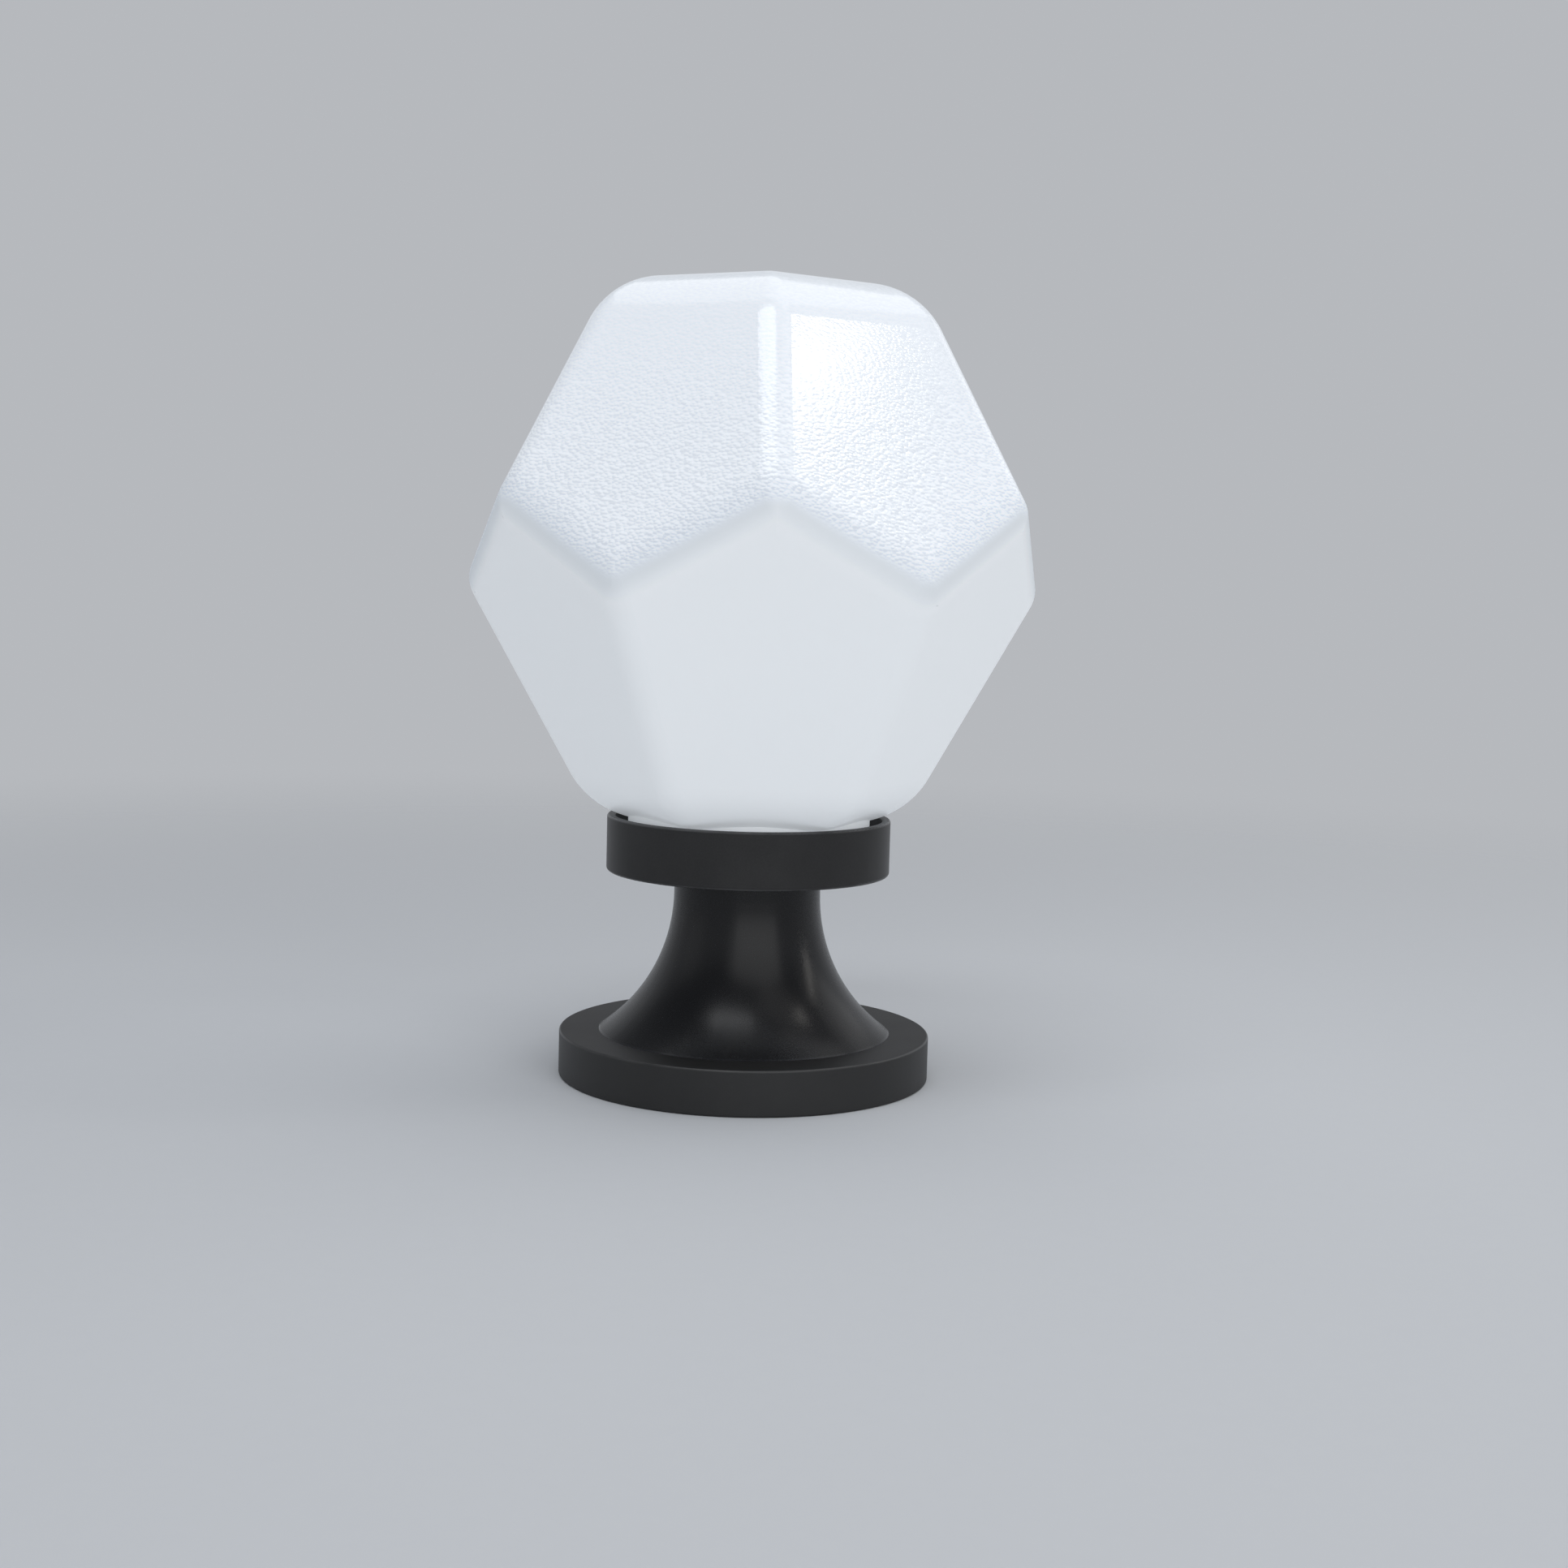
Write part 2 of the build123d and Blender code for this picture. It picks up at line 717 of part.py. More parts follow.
with BuildPart() as terminal_screws:
    screw_tip = pole_height + lead_radius + screw_gap
    with Locations((0, block_place, screw_tip)):
        with GridLocations(2 * tail_offset, terminal_screw_spacing, 2, 2):
            Cylinder(
                terminal_screw_radius,
                block_bottom + block_height - terminal_screw_inset - screw_tip,
                align=(Align.CENTER, Align.CENTER, Align.MIN),
            )
terminal_screws.part.label = "terminal_screws"
export_step(terminal_screws.part, "parts/terminal_screws.step")


def lead(across):
    """One insulated lead, from its brass tube to its tail under the lampholder."""
    with BuildPart() as wire:
        with BuildLine() as route:
            FilletPolyline(
                (across, block_place, pole_height),
                (across, lead_place, pole_height),
                (across, lead_place, lead_top),
                radius=lead_bend,
            )
        with BuildSketch(Plane(route.line @ 0, z_dir=route.line % 0)):
            Circle(lead_radius)
        sweep(path=route.line)
    return wire.part


live_wire = lead(-tail_offset)
with BuildPart() as live_lead:
    add(live_wire)
live_lead.part.label = "live_lead"
export_step(live_lead.part, "parts/live_lead.step")

neutral_wire = lead(tail_offset)
with BuildPart() as neutral_lead:
    add(neutral_wire)
neutral_lead.part.label = "neutral_lead"
export_step(neutral_lead.part, "parts/neutral_lead.step")

# Lamp: contact button, glass insulator and threaded cap
with BuildPart() as lamp_contact:
    revolve(band(0, button_radius, lamp_base, lamp_base + button_height), axis=Axis.Z)
    fillet(lamp_contact.edges().group_by(Axis.Z)[0], button_height / 2)
lamp_contact.part.label = "lamp_contact"
export_step(lamp_contact.part, "parts/lamp_contact.step")

with BuildPart() as lamp_insulator:
    revolve(
        outline(
            (0, lamp_base + button_height),
            (button_radius, lamp_base + button_height),
            (cap_base_radius - cap_wall - slip_gap, cap_bottom),
            (cap_base_radius - cap_wall - slip_gap, cap_bottom + button_height),
            (0, cap_bottom + button_height),
        ),
        axis=Axis.Z,
    )
lamp_insulator.part.label = "lamp_insulator"
export_step(lamp_insulator.part, "parts/lamp_insulator.step")

cap_thread = thread_ridge(
    cap_root_radius, cap_crest_radius, cap_tooth_root, cap_tooth_crest, cap_thread_bottom, cap_turns
)
with BuildPart() as lamp_cap:
    cap_slope = cap_root_radius - cap_base_radius
    revolve(
        outline(
            (cap_base_radius - cap_wall, cap_bottom),
            (cap_base_radius, cap_bottom),
            (cap_root_radius, cap_bottom + cap_slope),
            (cap_root_radius, cap_top),
            (cap_root_radius - cap_wall, cap_top),
            (cap_root_radius - cap_wall, cap_bottom + cap_slope),
        ),
        axis=Axis.Z,
    )
    add(cap_thread)
lamp_cap.part.label = "lamp_cap"
export_step(lamp_cap.part, "parts/lamp_cap.step")

# Lamp body: a flared housing, the light board with its diodes, the driver and the diffusing dome
sleeve_radius = cap_root_radius - cap_wall - screw_gap
sleeve_depth = housing_rim
with BuildPart() as lamp_housing:
    revolve(
        outline(
            (sleeve_radius, cap_top - sleeve_depth),
            (sleeve_radius, cap_top),
            (housing_neck, cap_top),
            (housing_neck, cap_top + housing_rim),
            (lamp_radius, board_bottom - housing_rim),
            (lamp_radius, housing_top),
            (lamp_radius - housing_wall, housing_top),
            (lamp_radius - housing_wall, board_bottom),
            (lamp_radius - 2 * housing_wall, board_bottom),
            (lamp_radius - 2 * housing_wall, board_bottom - housing_rim),
            (housing_neck - housing_wall, cap_top + housing_rim),
            (sleeve_radius - housing_wall, cap_top),
            (sleeve_radius - housing_wall, cap_top - sleeve_depth),
        ),
        axis=Axis.Z,
    )
lamp_housing.part.label = "lamp_housing"
export_step(lamp_housing.part, "parts/lamp_housing.step")

with BuildPart() as lamp_board:
    revolve(band(0, seat_radius, board_bottom, board_top), axis=Axis.Z)
lamp_board.part.label = "lamp_board"
export_step(lamp_board.part, "parts/lamp_board.step")

with BuildPart() as lamp_leds:
    with Locations((0, 0, board_top)):
        with PolarLocations(led_ring, led_count):
            Box(led_length, led_width, led_height, align=(Align.CENTER, Align.CENTER, Align.MIN))
lamp_leds.part.label = "lamp_leds"
export_step(lamp_leds.part, "parts/lamp_leds.step")

with BuildPart() as lamp_driver:
    with Locations((0, 0, board_bottom)):
        Box(
            driver_width, driver_thickness, driver_height, align=(Align.CENTER, Align.CENTER, Align.MAX)
        )
    capacitor_place = driver_thickness / 2 + capacitor_radius - capacitor_sink
    with Locations((0, capacitor_place, board_bottom - capacitor_radius)):
        Cylinder(
            capacitor_radius, capacitor_length, align=(Align.CENTER, Align.CENTER, Align.MAX)
        )
lamp_driver.part.label = "lamp_driver"
export_step(lamp_driver.part, "parts/lamp_driver.step")

with BuildPart() as lamp_dome:
    with BuildSketch(Plane.XZ):
        with BuildLine():
            dome_in = seat_radius - dome_wall
            Line((dome_in, board_top), (seat_radius, board_top))
            Line((seat_radius, board_top), (seat_radius, dome_spring))
            CenterArc((0, dome_spring), seat_radius, 0, 90)
            Line((0, dome_spring + seat_radius), (0, dome_spring + dome_in))
            CenterArc((0, dome_spring), dome_in, 90, -90)
            Line((dome_in, dome_spring), (dome_in, board_top))
        make_face()
    revolve(axis=Axis.Z)
lamp_dome.part.label = "lamp_dome"
export_step(lamp_dome.part, "parts/lamp_dome.step")
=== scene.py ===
"""Looks of the gate light: finishes of every piece, finer fasteners, the studio and the camera.

All places and sizes are in metres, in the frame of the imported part: the origin is the centre of the foot's
underside, +Z is up and the front faces -Y.
"""
import logging
from abc import ABC, abstractmethod
from dataclasses import dataclass, replace
from enum import Enum
from math import cos, pi, radians, sin, tan, tau
from typing import Any, Dict, List, Optional, Sequence, Tuple, Union

import bmesh
import bpy
from mathutils import Matrix, Vector


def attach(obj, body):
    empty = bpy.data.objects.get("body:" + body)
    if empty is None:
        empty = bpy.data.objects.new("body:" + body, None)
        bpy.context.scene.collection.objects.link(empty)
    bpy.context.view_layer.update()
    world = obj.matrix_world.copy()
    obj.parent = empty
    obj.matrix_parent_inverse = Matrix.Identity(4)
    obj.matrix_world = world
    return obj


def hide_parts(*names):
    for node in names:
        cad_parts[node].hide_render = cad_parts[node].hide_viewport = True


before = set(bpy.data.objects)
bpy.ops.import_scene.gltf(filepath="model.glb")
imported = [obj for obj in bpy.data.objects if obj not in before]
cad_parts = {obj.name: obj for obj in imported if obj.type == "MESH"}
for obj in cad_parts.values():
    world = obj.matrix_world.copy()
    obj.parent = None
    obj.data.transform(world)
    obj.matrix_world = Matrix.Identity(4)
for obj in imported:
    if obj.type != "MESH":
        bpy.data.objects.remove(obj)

LOG = logging.getLogger("gate_light")
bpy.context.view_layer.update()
BASE_BODY = "base"

MM = 0.001
SAME_HEIGHT = 1e-6
SAME_PLACE = 1e-7
ON_PLANE = 1e-8
ROUND_SEGMENTS = 48
SHARP_ANGLE = 32.0
NOISE_MIDDLE = 0.5

Colour = Tuple[float, float, float]
Point = Tuple[float, float, float]
Span = Tuple[float, float]
Amount = Union["Signal", float]
Paint = Union["Signal", Colour]
Owner = Union[bpy.types.Material, bpy.types.World]


class Recess(Enum):
    """What a screwdriver finds in a screw's head."""

    SLOT = "slot"
    CROSS = "cross"


class Outline(Enum):
    """The outline of a soft light."""

    RECTANGLE = "RECTANGLE"
    ELLIPSE = "ELLIPSE"


class Signal:
    """A value that changes over a surface: a shader socket that Python's operators work on."""

    def __init__(self, sheet: "Sheet", socket: bpy.types.NodeSocket) -> None:
        """Keeps the socket and the sheet that it belongs to."""
        self.sheet = sheet
        self.socket = socket

    def _join(self, operation: str, first: Amount, second: Amount) -> "Signal":
        """Adds one Math node for two amounts."""
        return self.sheet.node("ShaderNodeMath", {"operation": operation}, {0: first, 1: second})

    def __add__(self, other: Amount) -> "Signal":
        """The sum with another amount."""
        return self._join("ADD", self, other)

    def __radd__(self, other: Amount) -> "Signal":
        """The sum with a plain number on the left."""
        return self._join("ADD", other, self)

    def __sub__(self, other: Amount) -> "Signal":
        """This less another amount."""
        return self._join("SUBTRACT", self, other)

    def __rsub__(self, other: Amount) -> "Signal":
        """A plain number less this."""
        return self._join("SUBTRACT", other, self)

    def __mul__(self, other: Amount) -> "Signal":
        """The product with another amount."""
        return self._join("MULTIPLY", self, other)

    def __rmul__(self, other: Amount) -> "Signal":
        """The product with a plain number on the left."""
        return self._join("MULTIPLY", other, self)

    def largest(self, other: Amount) -> "Signal":
        """The larger of this and another amount."""
        return self._join("MAXIMUM", self, other)

    def step(self, low: float, high: float) -> "Signal":
        """Rises smoothly from 0 at the low value to 1 at the high value.

        Args:
            low: Value at which the step starts.
            high: Value at which the step is complete.

        Returns:
            The step as a new signal.
        """
        settings = {"interpolation_type": "SMOOTHSTEP"}
        sockets = {"Value": self, "From Min": low, "From Max": high}
        return self.sheet.node("ShaderNodeMapRange", settings, sockets)


class Sheet:
    """A shader under construction, of a material or of the world."""

    def __init__(self, owner: Owner, coordinates: str = "Object") -> None:
        """Starts an empty shader.

        Args:
            owner: The material or the world that the shader belongs to.
            coordinates: The coordinates that its patterns read.
        """
        owner.use_nodes = True
        self.owner = owner
        self.tree = owner.node_tree
        self.tree.nodes.clear()
        self.place = self.node("ShaderNodeTexCoord", output=coordinates)

    def add(
        self,
        kind: str,
        settings: Optional[Dict[str, Any]] = None,
        sockets: Optional[Dict[Any, Any]] = None,
    ) -> bpy.types.Node:
        """Adds a node.

        Args:
            kind: Type of the node.
            settings: The node's own settings, set before its sockets.
            sockets: Values or signals for its input sockets, by name or number.

        Returns:
            The new node.
        """
        made = self.tree.nodes.new(kind)
        for name, value in (settings or {}).items():
            setattr(made, name, value)
        for name, value in (sockets or {}).items():
            if isinstance(value, Signal):
                self.tree.links.new(value.socket, made.inputs[name])
            else:
                made.inputs[name].default_value = value
        return made

    def node(
        self,
        kind: str,
        settings: Optional[Dict[str, Any]] = None,
        sockets: Optional[Dict[Any, Any]] = None,
        output: Union[int, str] = 0,
    ) -> Signal:
        """Adds a node and hands back one of its outputs.

        Args:
            kind: Type of the node.
            settings: The node's own settings.
            sockets: Values or signals for its input sockets.
            output: The output socket to hand back.

        Returns:
            The chosen output as a signal.
        """
        return Signal(self, self.add(kind, settings, sockets).outputs[output])

    def placed(self, shift: Point = (0.0, 0.0, 0.0), stretch: Point = (1.0, 1.0, 1.0)) -> Signal:
        """The place on the surface, for a pattern that is moved or made finer.

        Args:
            shift: How far the pattern is moved along each axis.
            stretch: How much finer the pattern is along each axis.

        Returns:
            The place as a signal.
        """
        sockets = {"Vector": self.place, "Location": shift, "Scale": stretch}
        return self.node("ShaderNodeMapping", {"vector_type": "POINT"}, sockets)

    def noise(self, size: float, detail: float = 2.0, stretch: Point = (1.0, 1.0, 1.0)) -> Signal:
        """Smooth random values from 0 to 1.

        Args:
            size: Size of one patch of the noise.
            detail: Octaves of finer noise.
            stretch: How much finer the noise is along each axis.

        Returns:
            The noise as a signal.
        """
        sockets = {"Vector": self.placed(stretch=stretch), "Scale": 1 / size, "Detail": detail}
        return self.node("ShaderNodeTexNoise", sockets=sockets)

    def cells(
        self,
        size: float,
        stretch: Point = (1.0, 1.0, 1.0),
        shift: Point = (0.0, 0.0, 0.0),
    ) -> Signal:
        """Distance from the middle of the nearest cell, for pebbles and pores.

        Args:
            size: Size of one cell.
            stretch: How much finer the cells are along each axis.
            shift: How far the cells are moved along each axis.

        Returns:
            The distance as a signal, in cells.
        """
        sockets = {"Vector": self.placed(shift, stretch), "Scale": 1 / size}
        return self.node("ShaderNodeTexVoronoi", sockets=sockets, output="Distance")

    def length(self, vector: Signal) -> Signal:
        """How long a vector is."""
        return self.node("ShaderNodeVectorMath", {"operation": "LENGTH"}, {0: vector}, output="Value")

    def height(self) -> Signal:
        """Height of the place."""
        return self.node("ShaderNodeSeparateXYZ", sockets={0: self.place}, output="Z")

    def facing_up(self) -> Signal:
        """The upward share of the surface's own direction, from -1 to 1."""
        normal = self.node("ShaderNodeNewGeometry", output="Normal")
        return self.node("ShaderNodeSeparateXYZ", sockets={0: normal}, output="Z")

    def from_ring(self, ring: "Ring") -> Signal:
        """Distance from a ring about the part's axis.

        Args:
            ring: The ring.

        Returns:
            The distance as a signal.
        """
        settings = {"operation": "MULTIPLY"}
        flat = self.node("ShaderNodeVectorMath", settings, {0: self.place, 1: (1.0, 1.0, 0.0)})
        outward = self.length(flat) - ring.radius
        upward = self.height() - ring.height
        return self.length(self.node("ShaderNodeCombineXYZ", sockets={0: outward, 1: upward}))

    def outside_facets(self, facets: "FacetRing") -> Signal:
        """How far a place is outside a ring of flat facets: 0 on a facet, less than 0 inside it.

        Args:
            facets: The ring of facets.

        Returns:
            The distance to the nearest facet's plane as a signal.
        """
        place = self.placed((0.0, 0.0, -facets.middle))
        settings = {"operation": "DOT_PRODUCT"}
        reaches = [
            self.node("ShaderNodeVectorMath", settings, {0: place, 1: normal}, output="Value")
            for normal in facets.normals()
        ]
        furthest = reaches[0]
        for reach in reaches[1:]:
            furthest = furthest.largest(reach)
        return furthest - facets.reach

    def mix(self, share: Amount, first: Paint, second: Paint) -> Signal:
        """Blends two colours.

        Args:
            share: Share of the second colour, from 0 to 1.
            first: Colour where the share is 0.
            second: Colour where the share is 1.

        Returns:
            The blended colour.
        """
        paints = [paint if isinstance(paint, Signal) else (*paint, 1.0) for paint in (first, second)]
        sockets = {"Factor": share, 6: paints[0], 7: paints[1]}
        return self.node("ShaderNodeMix", {"data_type": "RGBA"}, sockets, output=2)

    def bump(self, height: Signal, depth: float) -> Signal:
        """Turns a height signal into a surface direction.

        Args:
            height: Height from 0 to 1.
            depth: How far the surface rises where the height is 1.

        Returns:
            The direction, for a shader's Normal socket.
        """
        return self.node("ShaderNodeBump", sockets={"Height": height, "Distance": depth, "Strength": 1.0})

    def close(self, shader: Signal, output: str = "ShaderNodeOutputMaterial") -> Owner:
        """Sends a shader to the output.

        Args:
            shader: The shader.
            output: Type of the output node.

        Returns:
            The finished material or world.
        """
        self.add(output, sockets={"Surface": shader})
        return self.owner

    def finish(self, sockets: Dict[str, Any]) -> bpy.types.Material:
        """Adds the surface shader and closes the sheet.

        Args:
            sockets: Values or signals of the surface shader.

        Returns:
            The finished material.
        """
        return self.close(self.node("ShaderNodeBsdfPrincipled", sockets=sockets))


@dataclass(frozen=True)
class Ring:
    """A circle about the part's axis."""

    radius: float
    height: float


@dataclass(frozen=True)
class FacetRing:
    """Six flat facets about the part's axis, all leaning alike."""

    first: float
    lean: float
    reach: float
    middle: float
    count: int = 6

    def normals(self) -> List[Point]:
        """The direction that each facet faces.

        Returns:
            A unit vector for each facet.
        """
        level, rise = cos(radians(self.lean)), sin(radians(self.lean))
        turns = [radians(self.first + 360 / self.count * number) for number in range(self.count)]
        return [(level * sin(turn), -level * cos(turn), rise) for turn in turns]


def shade(colour: Colour, factor: float) -> Colour:
    """A colour made lighter or darker by a factor."""
    return tuple(min(1.0, channel * factor) for channel in colour)


@dataclass(frozen=True)
class Finish(ABC):
    """A finish: the record's material slot that it belongs to, and how its material is made."""

    slot: str

    def sheet(self) -> Sheet:
        """Starts the finish's material."""
        return Sheet(bpy.data.materials.new(self.slot))

    @abstractmethod
    def make(self) -> bpy.types.Material:
        """Makes the material of this finish.

        Returns:
            The finished material.
        """


@dataclass(frozen=True)
class Moulding(Finish):
    """Moulded plastic, rubber or wire insulation: fine grain, wandering colour, and edges with wear and a
    painted highlight.
    """

    colour: Colour
    roughness: float
    patch: float = 24.0 * MM
    patch_share: float = 0.6
    grain: float = 0.5 * MM
    grain_share: float = 0.4
    grain_depth: float = 0.012 * MM
    mottle: Span = (0.3, 0.7)
    wander: float = 0.12
    shine_spread: float = 0.08
    specular: float = 0.5
    # Rings at the edges that get wear and a painted highlight: a lighter colour in patches, and lower
    # roughness.
    wear_and_highlight_edges: Tuple[Ring, ...] = ()
    wear_and_highlight_width: float = 0.7 * MM
    wear_and_highlight_patch_edge: Span = (0.2, 0.6)
    wear_and_highlight_lift: float = 3.2
    wear_and_highlight_shine: float = 0.4

    def make(self) -> bpy.types.Material:
        """Makes the material of this finish.

        Returns:
            The finished material.
        """
        sheet = self.sheet()
        patches = sheet.noise(self.patch, detail=3.0)
        grain = sheet.noise(self.grain)
        share = (patches * self.patch_share + grain * self.grain_share).step(*self.mottle)
        colour = sheet.mix(share, shade(self.colour, 1 - self.wander), shade(self.colour, 1 + self.wander))
        shine = self.roughness + (patches + grain - 1) * self.shine_spread
        # Near each edge ring the colour is lifted in patches, wear and a painted highlight together, and the
        # roughness drops.
        for ring in self.wear_and_highlight_edges:
            wear_and_highlight_patches = patches.step(*self.wear_and_highlight_patch_edge)
            wear_and_highlight = (1 - sheet.from_ring(ring).step(0.0, self.wear_and_highlight_width)) * wear_and_highlight_patches
            colour = sheet.mix(wear_and_highlight, colour, shade(self.colour, self.wear_and_highlight_lift))
            shine = shine - wear_and_highlight * (self.roughness * self.wear_and_highlight_shine)
        return sheet.finish({
            "Base Color": colour,
            "Roughness": shine,
            "Specular IOR Level": self.specular,
            "Normal": sheet.bump(grain, self.grain_depth),
        })


@dataclass(frozen=True)
class OpalShell(Finish):
    """Opal plastic with a painted glow for the lamp inside: pebbled above with painted relief shade, smooth
    below, and with painted shade at the crease between.
    """

    upper_facets: FacetRing
    lower_facets: FacetRing
    # Colours of the upper faces, from the painted shade to the painted light of the pebble relief.
    upper_shadow: Colour = (0.71, 0.74, 0.79)
    upper_light: Colour = (0.92, 0.95, 0.99)
    lower: Colour = (0.74, 0.76, 0.775)
    # Painted glow for the lamp inside, and its colour under the painted shade.
    glow: Colour = (0.9, 0.95, 1.0)
    glow_under_painted_shade: Colour = (0.29, 0.365, 0.44)
    glow_strength: float = 0.27
    crease_above: float = 15.0 * MM
    crease_below: float = 6.5 * MM
    # How much painted shade the glow gets at the crease and on the upper faces.
    crease_painted_shade: float = 0.97
    upper_painted_shade: float = 0.3
    cloud: float = 40.0 * MM
    cloud_dimming: float = 0.04
    groove_reach: float = 9.0 * MM
    groove_depth: float = 0.8 * MM
    upward: Span = (-0.05, 0.3)
    pebble: float = 1.5 * MM
    pebble_stretch: Point = (1.0, 1.0, 1.5)
    # The painted pebble relief: how far its shade is shifted, its middle tone and how strong it is.
    painted_relief_shift: Point = (0.1 * MM, -0.08 * MM, 0.5 * MM)
    painted_relief_middle: float = 0.5
    painted_relief_contrast: float = 3.4
    pebble_depth: float = 0.046 * MM
    pebble_margin: float = 6.3 * MM
    pebbled_above: float = 160.0 * MM
    pebbles_from: float = 190.0 * MM
    smooth_from: float = 270.0 * MM
    # How strong the painted pebble relief is everywhere and just above the crease.
    painted_relief_everywhere: float = 0.15
    painted_relief_at_crease: float = 0.85
    felt_everywhere: float = 0.6
    felt_at_crease: float = 1.2
    gloss_roughness: float = 0.07
    pebble_roughness: float = 0.15
    lower_roughness: float = 0.4
    ior: float = 1.49

    def make(self) -> bpy.types.Material:
        """Makes the material of this finish.

        Returns:
            The finished material.
        """
        sheet = self.sheet()
        # The zigzag crease runs where the upper facets meet the lower ones.
        below = -1 * sheet.outside_facets(self.upper_facets)
        above = -1 * sheet.outside_facets(self.lower_facets)
        crease = (1 - below.step(0.0, self.crease_below)) * (1 - above.step(0.0, self.crease_above))
        groove = (1 - below.step(0.0, self.groove_reach)) * (1 - above.step(0.0, self.groove_reach))
        looks_up = sheet.facing_up().step(*self.upward)
        looks_up = looks_up * sheet.height().step(self.pebbled_above, self.pebbles_from)
        upper = looks_up * (1 - crease)
        near_crease = 1 - sheet.height().step(self.pebbles_from, self.smooth_from)

        # Each pebble gets painted light on its upper side and painted shade on its lower side, in the base
        # colour, and this painted relief shows most just above the crease.
        seen = looks_up * (self.painted_relief_everywhere + self.painted_relief_at_crease * near_crease)
        seen = seen * above.step(0.0, self.pebble_margin)
        pebbles = 1 - sheet.cells(self.pebble, self.pebble_stretch)
        beside = 1 - sheet.cells(self.pebble, self.pebble_stretch, self.painted_relief_shift)
        painted_relief_tone = self.painted_relief_middle + (pebbles - beside) * seen * self.painted_relief_contrast
        felt = looks_up * (self.felt_everywhere + self.felt_at_crease * near_crease)
        relief = pebbles * felt * self.pebble_depth - groove * self.groove_depth

        upper_shine = self.gloss_roughness + near_crease * (self.pebble_roughness - self.gloss_roughness)
        # The glow is painted light for the lamp inside, with painted shade: brightest on the lower faces,
        # less on the upper faces and least at the crease.
        cloud = sheet.noise(self.cloud)
        painted_glow_shade = crease * self.crease_painted_shade + upper * self.upper_painted_shade + cloud * self.cloud_dimming
        # The upper colour holds the painted light and painted shade of the pebbles.
        upper_colour = sheet.mix(painted_relief_tone, self.upper_shadow, self.upper_light)
        return sheet.finish({
            "Base Color": sheet.mix(looks_up, self.lower, upper_colour),
            "Roughness": self.lower_roughness + upper * (upper_shine - self.lower_roughness),
            # Painted glow, with its painted shade.
            "Emission Color": sheet.mix(painted_glow_shade, self.glow, self.glow_under_painted_shade),
            "Emission Strength": self.glow_strength,
            "IOR": self.ior,
            "Normal": sheet.bump(relief, 1.0),
        })


@dataclass(frozen=True)
class PlatedMetal(Finish):
    """Drawn, pressed or plated metal: fine draw lines, cloudy shine and a little tarnish."""

    colour: Colour
    tarnish: Colour
    roughness: float
    lines: Point = (1.0, 1.0, 8.0)
    line_size: float = 0.9 * MM
    line_depth: float = 0.006 * MM
    line_tarnish: float = 0.15
    line_roughness: float = 0.12
    cloud: float = 9.0 * MM
    dull_patches: Span = (0.42, 0.72)
    dull_tarnish: float = 0.55
    dull_roughness: float = 0.14

    def make(self) -> bpy.types.Material:
        """Makes the material of this finish.

        Returns:
            The finished material.
        """
        sheet = self.sheet()
        lines = sheet.noise(self.line_size, detail=3.0, stretch=self.lines)
        dull = sheet.noise(self.cloud, detail=4.0).step(*self.dull_patches)
        tarnished = dull * self.dull_tarnish + lines * self.line_tarnish
        shine = self.roughness + dull * self.dull_roughness + (lines - NOISE_MIDDLE) * self.line_roughness
        return sheet.finish({
            "Base Color": sheet.mix(tarnished, self.colour, self.tarnish),
            "Metallic": 1.0,
            "Roughness": shine,
            "Normal": sheet.bump(lines, self.line_depth),
        })


@dataclass(frozen=True)
class Glaze(Finish):
    """Glazed ceramic or glass: smooth gloss over a body with faint specks."""

    colour: Colour
    speck: Colour
    roughness: float
    speck_size: float = 1.2 * MM
    speck_edge: Span = (0.1, 0.2)
    speck_share: float = 0.35
    ripple: float = 7.0 * MM
    ripple_depth: float = 0.03 * MM
    ripple_roughness: float = 0.08
    coat: float = 0.4
    coat_ripple: float = 0.3
    coat_roughness: float = 0.04

    def make(self) -> bpy.types.Material:
        """Makes the material of this finish.

        Returns:
            The finished material.
        """
        sheet = self.sheet()
        ripple = sheet.noise(self.ripple, detail=1.0)
        specks = 1 - sheet.cells(self.speck_size).step(*self.speck_edge)
        return sheet.finish({
            "Base Color": sheet.mix(specks * self.speck_share, self.colour, self.speck),
            "Roughness": self.roughness + ripple * self.ripple_roughness,
            "Coat Weight": self.coat + ripple * self.coat_ripple,
            "Coat Roughness": self.coat_roughness,
            "Normal": sheet.bump(ripple, self.ripple_depth),
        })


@dataclass(frozen=True)
class Diffuser(Finish):
    """Frosted plastic or phosphor that glows."""

    colour: Colour
    glow: Colour
    glow_strength: float
    roughness: float
    frost: float = 0.6 * MM
    frost_depth: float = 0.01 * MM
    frost_roughness: float = 0.12
    cloud: float = 12.0 * MM
    cloud_share: float = 0.3
    cloud_shade: float = 0.9
    glow_cloud_share: float = 0.4
    glow_cloud_shade: float = 0.85

    def make(self) -> bpy.types.Material:
        """Makes the material of this finish.

        Returns:
            The finished material.
        """
        sheet = self.sheet()
        frost = sheet.noise(self.frost, detail=3.0)
        cloud = sheet.noise(self.cloud)
        clouded = shade(self.colour, self.cloud_shade)
        clouded_glow = shade(self.glow, self.glow_cloud_shade)
        return sheet.finish({
            "Base Color": sheet.mix(cloud * self.cloud_share, self.colour, clouded),
            "Roughness": self.roughness + (frost - NOISE_MIDDLE) * self.frost_roughness,
            "Emission Color": sheet.mix(cloud * self.glow_cloud_share, self.glow, clouded_glow),
            "Emission Strength": self.glow_strength,
            "Normal": sheet.bump(frost, self.frost_depth),
        })


